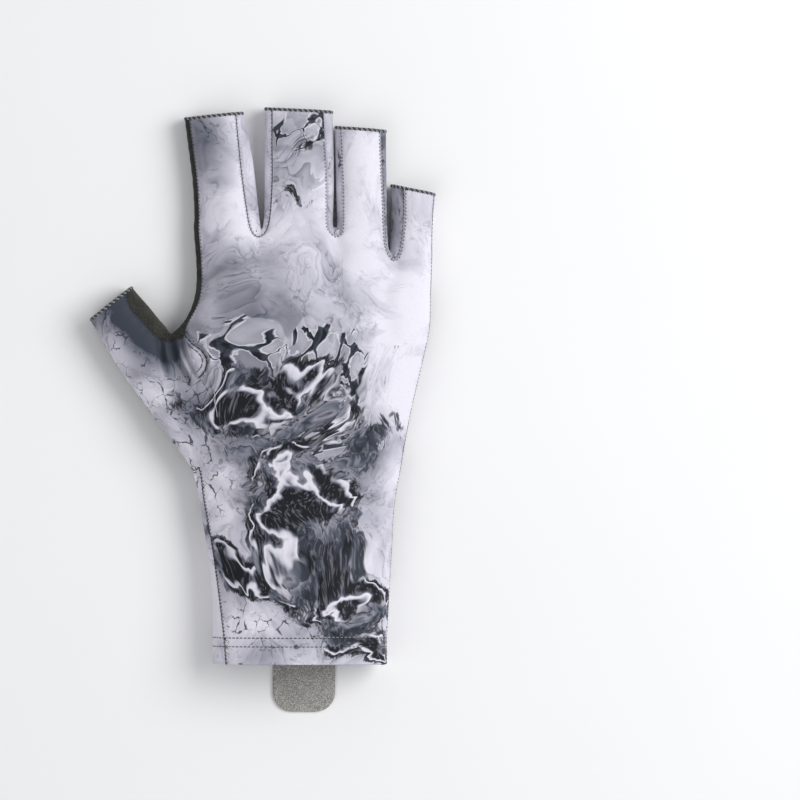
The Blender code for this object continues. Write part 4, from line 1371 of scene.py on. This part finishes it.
# Places with cracks in the print
Crackle = namedtuple("Crackle", "x y width length height")
BACK_CRACKS = rows(
    Crackle,
    (-40.0, 82.0, 32.0, 40.0, 1.0), (-12.0, 12.0, 38.0, 24.0, 1.3),
    (-64.0, 112.0, 18.0, 30.0, 1.2), (-44.0, 106.0, 14.0, 8.0, 1.0),
)
PALM_CRACKS = rows(
    Crackle,
    (-30.0, 84.0, 40.0, 40.0, 0.9), (20.0, 14.0, 40.0, 20.0, 0.8),
)

# Tones of the print's ground, of its pools, and of its two kinds of dark paint, from low to high
GROUND_TONES = ((0.00, WHITE), (0.20, WHITE), (0.36, PALE), (0.54, LAVENDER), (0.74, GREY), (0.92, BLUE_GREY),
                (1.00, SLATE))
POOL_TONES = ((0.0, PALE), (0.40, PALE), (0.50, LAVENDER), (0.62, GREY), (1.0, BLUE_GREY))
LACED_TONES = (
    (0.430, SLATE), (0.455, INK), (0.505, INK), (0.518, SLATE), (0.524, WHITE), (0.540, PALE),
    (0.552, BLUE_GREY), (0.562, INK), (0.632, INK), (0.650, SLATE), (0.668, GREY), (0.676, WHITE),
    (0.690, WHITE), (0.712, PALE), (0.730, BLUE_GREY), (0.745, INK), (0.860, INK),
)
DEEP_TONES = ((0.32, INK), (0.46, SLATE), (0.52, BLUE_GREY), (0.56, GREY), (0.60, INK), (0.66, LAVENDER),
              (0.74, PALE))
# The two sizes of pools: size, offset in the noise and how much of the cloth has none
POOLS = ((17.0, 0.0, 0.50), (7.5, 60.0, 0.56))


def knit(graph, place):
    """Fine jersey: close ribs along the hand, uneven in the way of cloth."""
    ribs = graph.vector_math("MULTIPLY", graph.warped(place, 2.0, 0.05), (1.0, 0.55, 1.0))
    return graph.noise(ribs, 0.30, 1.0)


def marbled(graph, place, zones, crackles, base, offset):
    """The colour of the marbled print, from its places and from what the whole cloth has."""
    moved = graph.place(offset, (1.0, 1.0, 1.6))
    drift = graph.warped(place, 30.0, 11.0)
    total = graph.scaled(base, 1.0)
    for z in zones:
        near = graph.spot(drift, z.x, z.y, z.width, z.length)
        total = graph.vector_math("ADD", total, graph.scaled((z.grey, z.ink, z.cells), near))
    split = graph.node("SeparateXYZ", 0, {0: total}).socket.node
    grey, ink, cell = (Signal(graph, output) for output in split.outputs)

    slow = graph.warped(moved, 52.0, 24.0, 1.0)
    bent = graph.warped(slow, 19.0, 10.0)
    fine = graph.warped(bent, 7.5, 2.4)

    # Ground: swirls of thinned paint; each layer ends in a sharp edge and fades away behind it
    swirl = graph.noise(fine, 24.0, 4.0, 0.55)
    level = grey + (swirl - 0.5) * 1.15
    layer = graph.math("FRACT", graph.noise(fine, 20.0, 3.0) * 9.0)
    edge = (layer ** 3.0) * graph.noise(bent, 16.0).step(0.42, 0.62, 0.0, 0.30)
    wisp = graph.math("FRACT", swirl * 16.0) ** 6.0 * graph.noise(slow, 11.0).step(0.46, 0.60, 0.0, 0.22)
    level = level + edge * grey.step(0.05, 0.5, 0.3, 1.0) + wisp * grey.step(0.05, 0.4, 0.2, 1.0)
    ground = graph.ramp(level, GROUND_TONES)

    # Cells: rounded pools of paint in a dark net that is thick where three of them meet
    colour = ground
    for size, seed, share in POOLS:
        shifted = graph.vector_math("ADD", slow, (seed, seed, seed))
        spot = graph.warped(shifted, 0.62 * size, 0.34 * size)
        gap, far = graph.voronoi(spot, size), graph.voronoi(spot, size, "F1")
        net = graph.math("MINIMUM", gap, (0.80 - far) * 0.42)
        pick = graph.noise(graph.voronoi(spot, size, "F1", "Color"), 0.35, 0.0)
        fill = graph.blend(0.60, graph.blend(0.35, ground, PALE), graph.ramp(pick, POOL_TONES))
        fill = graph.blend(net.step(0.0, 0.34, 0.60, 0.0) * layer.step(0.0, 1.0, 0.3, 1.0), fill, BLUE_GREY)
        width = graph.noise(bent, 12.0, 1.0).step(0.36, 0.62, 0.012, 0.075)
        fill = graph.blend((net - width - 0.020).abs().step(0.0, 0.020, 0.75, 0.0), fill, WHITE)
        vein = graph.blend(graph.noise(fine, 3.0).step(0.4, 0.65), SLATE, INK)
        cells = graph.blend(net.step(width * 0.75, width, 1.0, 0.0), fill, vein)
        where = graph.noise(moved, 26.0) + (cell - 0.5) * 0.55
        colour = graph.blend(where.step(share, share + 0.02), colour, cells)

    # Dark paint: folded flows laced with white, feathered where they run out
    streak = graph.noise(graph.vector_math("MULTIPLY", bent, (1.0, 0.16, 1.0)), 1.1, 2.0, 0.6)
    tone = graph.noise(fine, 27.0, 3.0) + (ink - 0.5) * 0.50
    feather = tone + (streak - 0.5) * 0.16
    deep = graph.ramp(graph.noise(fine, 13.0, 3.0, 0.55) + (layer - 0.5) * 0.09, DEEP_TONES)
    laced = graph.noise(slow, 15.0) + (tone - 0.55) * 0.5
    paint = graph.blend(laced.step(0.47, 0.53), deep, graph.ramp(tone, LACED_TONES))
    paint = graph.blend(streak.step(0.50, 0.70, 0.0, 0.30), paint, LAVENDER)
    colour = graph.blend(feather.step(0.440, 0.475), colour, paint)
    if not crackles:
        return colour

    # Fine broken cracks
    there = graph.spot(drift, *crackles[0])
    for crackle in crackles[1:]:
        there = there + graph.spot(drift, *crackle)
    crack = graph.voronoi(graph.warped(moved, 3.0, 1.3), 5.2)
    thick = graph.noise(bent, 5.0, 1.0).step(0.35, 0.65, 0.016, 0.090)
    line = crack.step(thick * 0.5, thick, 1.0, 0.0) * graph.noise(moved, 6.5).step(0.48, 0.55)
    return graph.blend(line * there.step(0.15, 0.5) * feather.step(0.43, 0.47, 0.9, 0.0), colour, SLATE)


def printed_cloth(name, zones, crackles, base, offset):
    graph = Graph(name, roughness=0.62, sheen=0.03, sheen_roughness=0.45, specular=0.18)
    place = graph.place()
    colour = marbled(graph, place, zones, crackles, base, offset)
    weave = knit(graph, place)
    # Painted shade: the print is darkened a little in the knit's hollows, where the bump below is low
    colour = graph.blend(weave.step(0.25, 0.75, 0.10, 0.0), colour, (0.30, 0.30, 0.34), "MULTIPLY")
    normal = graph.bump(weave, 0.07, 0.5, graph.bump(graph.noise(place, 7.0), 0.35, 0.35))
    return graph.finish(colour, graph.noise(place, 14.0).step(0.3, 0.7, 0.62, 0.74), normal)


def plain_cloth(name, colour):
    """The unprinted inside of the jersey."""
    graph = Graph(name, roughness=0.85, sheen=0.2, specular=0.2)
    place = graph.place()
    weave = knit(graph, place)
    tint = graph.blend(graph.noise(place, 9.0), colour, tuple(c * 0.9 for c in colour))
    # Painted shade: the inside is darkened in the knit's hollows, where the bump below is low
    tint = graph.blend(weave.step(0.25, 0.75, 0.25, 0.0), tint, (0.5, 0.5, 0.52), "MULTIPLY")
    return graph.finish(tint, None, graph.bump(weave, 0.08, 0.6))


def suede(name, dark, light, speckle, nap=1.0, grain_size=0.7):
    """Synthetic suede: a short nap that lies in brushed patches, with fine light fibres."""
    graph = Graph(name, roughness=0.95, sheen=0.12, sheen_roughness=0.6, specular=0.12)
    place = graph.place()
    fibre = graph.noise(graph.warped(place, 1.2, 0.25), 0.55, 2.0, 0.65)
    brushed = graph.noise(graph.warped(place, 8.0, 3.0), 10.0, 3.0, 0.6)
    colour = graph.blend(brushed.step(0.30, 0.70), dark, light)
    grain = graph.noise(place, grain_size, 1.0, 0.6)
    colour = graph.blend(grain.step(0.48, 0.72, 0.0, speckle), colour, tuple(2.0 * c + 0.03 for c in light))
    colour = graph.blend(grain.step(0.28, 0.46, speckle, 0.0), colour, tuple(0.35 * c for c in dark))
    return graph.finish(colour, None, graph.bump(fibre, 0.16 * nap, 0.7, graph.bump(brushed, 0.25, 0.3)))


def rubber(name, colour):
    graph = Graph(name, roughness=0.42)
    dust = graph.noise(graph.place(), 1.1, 3.0, 0.65)
    tint = graph.blend(dust.step(0.45, 0.75), colour, tuple(2.4 * c for c in colour))
    return graph.finish(tint, dust.step(0.3, 0.7, 0.34, 0.6), graph.bump(dust, 0.05, 0.4))


def thread(name, colour):
    graph = Graph(name, roughness=0.7, sheen=0.2, specular=0.35)
    ply = graph.noise(graph.place(), 0.35, 1.0)
    # Painted shade: the thread is darker between its plies, where the bump below is low
    tint = graph.blend(ply.step(0.35, 0.65), tuple(0.65 * c for c in colour), colour)
    return graph.finish(tint, None, graph.bump(ply, 0.05, 0.6))


def floor_finish():
    graph = Graph("paper", roughness=0.9, specular=0.2)
    place = graph.place()
    tint = graph.blend(graph.noise(place, 120.0), (0.88, 0.88, 0.885), (0.91, 0.91, 0.915))
    return graph.finish(tint, None, graph.bump(graph.noise(place, 1.5), 0.03, 0.3))


MATERIALS = {
    BACK: printed_cloth("printed_jersey_back", BACK_ZONES, BACK_CRACKS, (0.18, 0.02, 0.05), (0.0, 0.0, 0.0)),
    PALM: printed_cloth("printed_jersey_palm", PALM_ZONES, PALM_CRACKS, (0.18, 0.02, 0.05),
                        (310.0, 45.0, 20.0)),
    INDEX_MIDDLE: printed_cloth("printed_jersey_side_1", (), (), (0.36, 0.10, 0.20), (120.0, 700.0, 0.0)),
    MIDDLE_RING: printed_cloth("printed_jersey_side_2", (), (), (0.44, 0.14, 0.20), (530.0, 160.0, 0.0)),
    RING_LITTLE: printed_cloth("printed_jersey_side_3", (), (), (0.66, 0.24, 0.10), (260.0, 910.0, 0.0)),
    SUEDE: suede("dark_suede", (0.016, 0.016, 0.015), (0.030, 0.030, 0.026), 0.22),
    THUMB: suede("thumb_suede", (0.019, 0.019, 0.016), (0.036, 0.036, 0.030), 0.22),
}
INSIDE = plain_cloth("unprinted_jersey", (0.66, 0.66, 0.71))
SUEDE_BACK = plain_cloth("suede_backing", (0.20, 0.20, 0.19))
GRIP_SUEDE = suede("grip_suede", (0.085, 0.087, 0.079), (0.140, 0.143, 0.131), 0.50)
BAND_SUEDE = suede("band_suede", (0.125, 0.118, 0.105), (0.165, 0.155, 0.138), 0.35)
TAB_SUEDE = suede("tab_suede", (0.262, 0.254, 0.237), (0.330, 0.321, 0.303), 0.72, nap=2.0, grain_size=0.40)
SCALE_RUBBER = rubber("scale_rubber", (0.012, 0.012, 0.011))
DARK_THREAD = thread("dark_thread", (0.035, 0.037, 0.045))
LIGHT_THREAD = thread("light_thread", (0.56, 0.555, 0.62))
SERGING_GREY = thread("serging_grey", (0.30, 0.30, 0.32))
PATCH_THREAD = thread("patch_thread", (0.030, 0.030, 0.028))

REST_GAP = 0.02
WEB_LEAST = 40

# The whole cloth as one surface
cage = Cage()
rings = build_body(cage)
build_fingers(cage, rings[-1])
build_thumb(cage, rings)
drop_unused(cage)
corners = pushed_out(cage)
flat_points, faces, owner = subdivided(corners, cage.faces, OUTER_LEVEL)
coarse_points, coarse_faces, coarse_owner = subdivided(corners, cage.faces, INNER_LEVEL)
fine_tree = tree_of(flat_points)
to_fine = np.array([fine_tree.find(p)[1] for p in coarse_points.tolist()])
coarse_faces = to_fine[coarse_faces]

panel_number = np.array([PANELS.index(p) for p in cage.panels])
panel_of = panel_number[owner]
coarse_panel_of = panel_number[coarse_owner]
under = np.array(cage.under)[owner]

webs = [chain for side in STRIPS for chain in seam_chains(faces, panel_of, BACK, side)
        if len(chain) > WEB_LEAST]
flat_points = rounded_webs(flat_points, webs)
flat_normals = point_normals(flat_points, faces)
seam_points, seam_run = seam_runs(flat_points, faces, panel_of)
points = eased(flat_points, flat_normals, faces, seam_points)
points = fold_into(points, flat_normals, FOLDS)
points = undulating(points, flat_normals)
points = creased(points, flat_normals)
points = seam_dressing(points, flat_normals, seam_points, seam_run)
points = hem_grooves(points, flat_normals)
points[:, 2] = np.maximum(points[:, 2], REST + REST_GAP)
normals = point_normals(points, faces)
wall = mix(HEM_WALL, FABRIC, smooth(points[:, 1], HEM_DEPTH, HEM_DEPTH + HEM_FADE))
wall = wall + np.minimum(fold_room(points, normals, faces, ROOM_ROUNDS), ROOM_LIMIT)

shown = {}


def stands_for(piece, node):
    """Puts a dressed piece in the place of one node of the part."""
    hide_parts(node)
    shown[node] = piece


# The panels that the cloth is cut into
for number, name in enumerate(PANELS):
    lining = SUEDE_BACK if name in (SUEDE, THUMB) else INSIDE
    panel = sewn_panel(name + "_cloth", (points, normals, wall), faces[panel_of == number],
                       coarse_faces[coarse_panel_of == number], [MATERIALS[name], lining])
    stands_for(panel, name)

# Patches under the palm, and the tilt of their scales
GRIP_OFF = 0.6
palm_side = Underside(points, faces[under])
tab_side = Flat(PATCH + PATCH_LIFT)
grip_line = placed_outline(GRIP_OUTLINE, (0.0, 0.0), PALM_WIDTH, BODY_LENGTH)
for side in (INDEX_MIDDLE, MIDDLE_RING):
    seam = max(seam_chains(faces, panel_of, PALM, side), key=len)
    grip_line = cut_round(grip_line, beside(points, normals, seam, GRIP_OFF)[0][:, :2])
thenar_line = placed_outline(THENAR_OUTLINE, THENAR_PLACE, THENAR_WIDTH, THENAR_LENGTH)
hypothenar_line = placed_outline(HYPOTHENAR_OUTLINE, HYPOTHENAR_PLACE, HYPOTHENAR_WIDTH, HYPOTHENAR_LENGTH)
patch_edges = {}
for node, outline, tilt in (("palm_grip", grip_line, 0.0), ("thenar_pad", thenar_line, -12.0),
                            ("hypothenar_pad", hypothenar_line, -8.0)):
    piece, patch_edges[node] = patch(node + "_suede", outline, palm_side, GRIP_SUEDE)
    stands_for(piece, node)
    scales = scale_arcs(node + "_scales", patch_edges[node], palm_side, SCALE_RUBBER, tilt)
    shown[node + "_scales"] = scales
for node, band in BANDS.items():
    piece, patch_edges[node] = patch(node + "_suede", band_outline(band), palm_side, BAND_SUEDE)
    stands_for(piece, node)
tab, patch_edges["pull_tab"] = patch("pull_tab_suede", tab_outline(), tab_side, TAB_SUEDE, PATCH + PATCH_LIFT)
stands_for(tab, "pull_tab")

# Serged edges of the stalls, past the end of the cuff
CUFF_END = 20.0
SERGING_RADIUS, SERGING_SPREAD, SERGING_PITCH, SERGING_LIFT = 0.36, 0.40, 2.0, 0.05
strands = {"dark": Threads("serging_dark", DARK_THREAD), "light": Threads("serging_light", SERGING_GREY)}
for loop in border_loops(faces):
    line, ns = points[loop], normals[loop]
    if line[:, 1].mean() < CUFF_END:
        continue
    out = -unit(inward_at(points, normals, loop))
    for colour, phase in (("dark", 0.0), ("light", pi)):
        strands[colour].add(rope(line - ns * SERGING_RADIUS, ns, out, SERGING_RADIUS, SERGING_SPREAD,
                                 SERGING_PITCH, phase, SERGING_LIFT))
thread_pieces = [threads.piece() for threads in strands.values()]

surface = BVHTree.FromPolygons(points.tolist(), faces.tolist())
CUFF_MIDDLE = 12.0
ROUND_STEPS = 360


def cast(starts, ways):
    """Where rays meet the cloth, and its normals there."""
    hits = [surface.ray_cast(start, way) for start, way in zip(starts, ways)]
    return [np.array([tuple(hit[k]) for hit in hits]) for k in (0, 1)]


def round_cuff(y):
    """A closed line on the cuff in the plane at y, and its normals."""
    turn = np.arange(ROUND_STEPS + 1) * 2.0 * pi / ROUND_STEPS
    return cast([(0.0, y, CUFF_MIDDLE)] * len(turn), [(cos(a), 0.0, sin(a)) for a in turn])


# Hem stitches: thread, place of the row and the stitches' place beside it, length, gap, radius and seed
HemThread = namedtuple("HemThread", "colour y off length gap radius seed")
HEM_THREADS = rows(
    HemThread,
    ("dark", HEM_ROWS[0], 0.0, 1.15, 0.45, 0.15, 3),
    ("light", HEM_ROWS[0], 0.40, 0.95, 0.65, 0.12, 13),
    ("dark", HEM_ROWS[1], 0.0, 1.15, 0.45, 0.15, 4),
)
HEM_JITTER = 0.04
seam_threads = {
    "dark": Threads("stitches_dark", DARK_THREAD),
    "light": Threads("stitches_light", LIGHT_THREAD),
}
for row in HEM_THREADS:
    line, ns = round_cuff(row.y)
    line = line + (0.0, row.off, 0.0)
    sewn = stitches(line, ns, row.length, row.gap, row.radius, HEM_JITTER, row.seed)
    seam_threads[row.colour].add(sewn)

# Threads in the seams and beside them: thread, place beside the seam, lift, length, gap and radius
SeamRow = namedtuple("SeamRow", "colour off lift length gap radius")
SEAM_THREAD_AND_SHADE, PALE_DRAWN, LIGHT_WHIP, DARK_WHIP, FAR_LIGHT, FAR_DARK = rows(
    SeamRow,
    # The first row, a dark thread sunk into each seam, is partly the seam's own thread and partly painted
    # shade in the groove
    ("dark", 0.0, -0.12, 1.30, 0.20, 0.17),
    ("light", 0.0, -0.06, 0.95, 0.45, 0.19),
    ("light", 0.55, 0.00, 0.80, 0.50, 0.13),
    ("dark", 0.62, 0.00, 0.70, 0.65, 0.13),
    ("light", -0.55, 0.00, 0.80, 0.60, 0.12),
    ("dark", -0.55, 0.00, 0.80, 0.70, 0.12),
)
SEAMS = (
    (BACK, INDEX_MIDDLE, (SEAM_THREAD_AND_SHADE, LIGHT_WHIP, FAR_LIGHT)),
    (BACK, MIDDLE_RING, (PALE_DRAWN, DARK_WHIP, FAR_LIGHT)),
    (BACK, RING_LITTLE, (PALE_DRAWN, DARK_WHIP, FAR_DARK)),
    (BACK, SUEDE, (SEAM_THREAD_AND_SHADE, DARK_WHIP)),
    (BACK, THUMB, (SEAM_THREAD_AND_SHADE, DARK_WHIP)),
    (BACK, PALM, (SEAM_THREAD_AND_SHADE, DARK_WHIP)),
    (PALM, INDEX_MIDDLE, (SEAM_THREAD_AND_SHADE, LIGHT_WHIP)),
    (PALM, MIDDLE_RING, (SEAM_THREAD_AND_SHADE, LIGHT_WHIP)),
    (PALM, RING_LITTLE, (SEAM_THREAD_AND_SHADE, LIGHT_WHIP)),
    (PALM, SUEDE, (SEAM_THREAD_AND_SHADE, DARK_WHIP)),
    (PALM, THUMB, (SEAM_THREAD_AND_SHADE, DARK_WHIP)),
    (SUEDE, THUMB, (SEAM_THREAD_AND_SHADE,)),
    (SUEDE, INDEX_MIDDLE, (SEAM_THREAD_AND_SHADE,)),
)
SEAM_LEAST = 4
SEAM_JITTER = 0.06
for number, (first, second, kinds) in enumerate(SEAMS):
    for chain in seam_chains(faces, panel_of, first, second):
        if len(chain) < SEAM_LEAST:
            continue
        for kind in kinds:
            line, ns = beside(points, normals, chain, kind.off, kind.lift)
            sewn = stitches(line, ns, kind.length, kind.gap, kind.radius, SEAM_JITTER, number)
            seam_threads[kind.colour].add(sewn)

# The dart at the thumb: threads on the back along a line in the plane. Of each row, how far it lies out of
# the middle, its radius and its seed
DART = ((-44.3, 126.0), (-41.6, 122.9), (-37.9, 120.0), (-35.6, 116.3), (-36.2, 112.2), (-38.6, 109.3))
DART_MIDDLE = (-41.0, 117.0)
DART_ROWS = ((1.0, 0.24, 77), (0.70, 0.16, 78))
DART_STEPS = 60
DART_LIFT, DART_LENGTH, DART_GAP, DART_JITTER = 0.03, 2.0, 0.12, 0.04
SKY = 60.0
for share, radius, seed in DART_ROWS:
    flat_line = mix(np.array(DART_MIDDLE), smooth_path(DART, DART_STEPS), share)
    spots, ns = cast([(x, y, SKY) for x, y in flat_line.tolist()], [(0.0, 0.0, -1.0)] * DART_STEPS)
    sewn = stitches(spots + ns * DART_LIFT, ns, DART_LENGTH, DART_GAP, radius, DART_JITTER, seed)
    seam_threads["dark"].add(sewn)
thread_pieces += [threads.piece() for threads in seam_threads.values()]

# Stitches that hold the patches under the palm
HOLD_INSET, HOLD_LEAST = 0.8, 0.7
HOLD_LENGTH, HOLD_GAP, HOLD_RADIUS, HOLD_JITTER = 1.5, 0.9, 0.14, 0.05
patch_rows = Threads("patch_stitches", PATCH_THREAD)
for node, edge in patch_edges.items():
    line = inset(edge, HOLD_INSET)
    line = line[inside_by(line, edge) > HOLD_LEAST]
    line = np.vstack((line, line[:1]))
    spots, ns, _ = (tab_side if node == "pull_tab" else palm_side).at(line)
    sewn = stitches(spots + ns * PATCH_FACE, ns, HOLD_LENGTH, HOLD_GAP, HOLD_RADIUS, HOLD_JITTER, len(node))
    sewn[0][:, 2] = np.maximum(sewn[0][:, 2], 0.0)
    patch_rows.add(sewn)
patch_thread = patch_rows.piece()

# Each sheet as it was cut: width, length and area in square metres, what it lies on and what is sewn to it
Cut = namedtuple("Cut", "width length area rests_on with_pieces")
CUTS = {
    BACK: Cut(0.142, 0.2135, 0.01840, (PALM,), thread_pieces),
    PALM: Cut(0.108, 0.2135, 0.01650, ("thenar_pad", "palm_grip", "hypothenar_pad", "pull_tab"), ()),
    INDEX_MIDDLE: Cut(0.0138, 0.100, 0.00124, (PALM,), ()),
    MIDDLE_RING: Cut(0.0118, 0.094, 0.00100, (PALM,), ()),
    RING_LITTLE: Cut(0.0118, 0.078, 0.00078, (PALM,), ()),
    SUEDE: Cut(0.026, 0.098, 0.00161, (PALM,), ()),
    THUMB: Cut(0.040, 0.078, 0.00187, (BACK,), ()),
    "palm_grip": Cut(0.085, 0.0905, 0.00300, ("floor",), (shown["palm_grip_scales"], patch_thread)),
    "thenar_pad": Cut(0.045, 0.075, 0.00237, ("floor",), (shown["thenar_pad_scales"],)),
    "hypothenar_pad": Cut(0.0208, 0.0675, 0.00075, ("floor",), (shown["hypothenar_pad_scales"],)),
    "middle_band": Cut(0.0189, 0.0120, 0.000226, ("floor",), ()),
    "ring_band": Cut(0.0145, 0.0135, 0.000194, ("floor",), ()),
    "pull_tab": Cut(0.0322, 0.0562, 0.00138, ("floor",), ()),
}
for node, cut in CUTS.items():
    lies_on = [shown[name] if name in shown else name for name in cut.rests_on]

# Stage
bpy.ops.mesh.primitive_plane_add(size=6.0, location=(0.0, 0.0, 0.0))
floor = bpy.context.object
floor.name = "floor"
floor.data.materials.append(floor_finish())

world = bpy.data.worlds.new("studio")
bpy.context.scene.world = world
world.use_nodes = True
world.node_tree.nodes["Background"].inputs["Color"].default_value = (0.97, 0.98, 1.0, 1.0)
world.node_tree.nodes["Background"].inputs["Strength"].default_value = 0.48


def area_light(name, place, size, power):
    """A round lamp that faces the origin."""
    light = bpy.data.lights.new(name, "AREA")
    light.shape = "DISK"
    light.size = size
    light.energy = power
    lamp = bpy.data.objects.new(name, light)
    lamp.location = place
    lamp.rotation_euler = (-Vector(place)).to_track_quat("-Z", "Y").to_euler()
    bpy.context.scene.collection.objects.link(lamp)


area_light("key", (0.86, 0.30, 0.90), 0.9, 11.5)
area_light("fill", (-0.7, -0.5, 1.1), 1.2, 2.8)

VIEW_WIDTH = 0.3064
CAMERA_HEIGHT = 3.6
SENSOR_WIDTH = 36.0
camera = bpy.data.cameras.new("camera")
camera.sensor_width = SENSOR_WIDTH
camera.lens = SENSOR_WIDTH * CAMERA_HEIGHT / VIEW_WIDTH
camera.clip_start, camera.clip_end = 0.05, 20.0
eye = bpy.data.objects.new("camera", camera)
eye.location = (0.0524, 0.0042, CAMERA_HEIGHT + 0.006)
bpy.context.scene.collection.objects.link(eye)
bpy.context.scene.camera = eye
bpy.context.scene.view_settings.view_transform = "Standard"

bpy.context.view_layer.update()
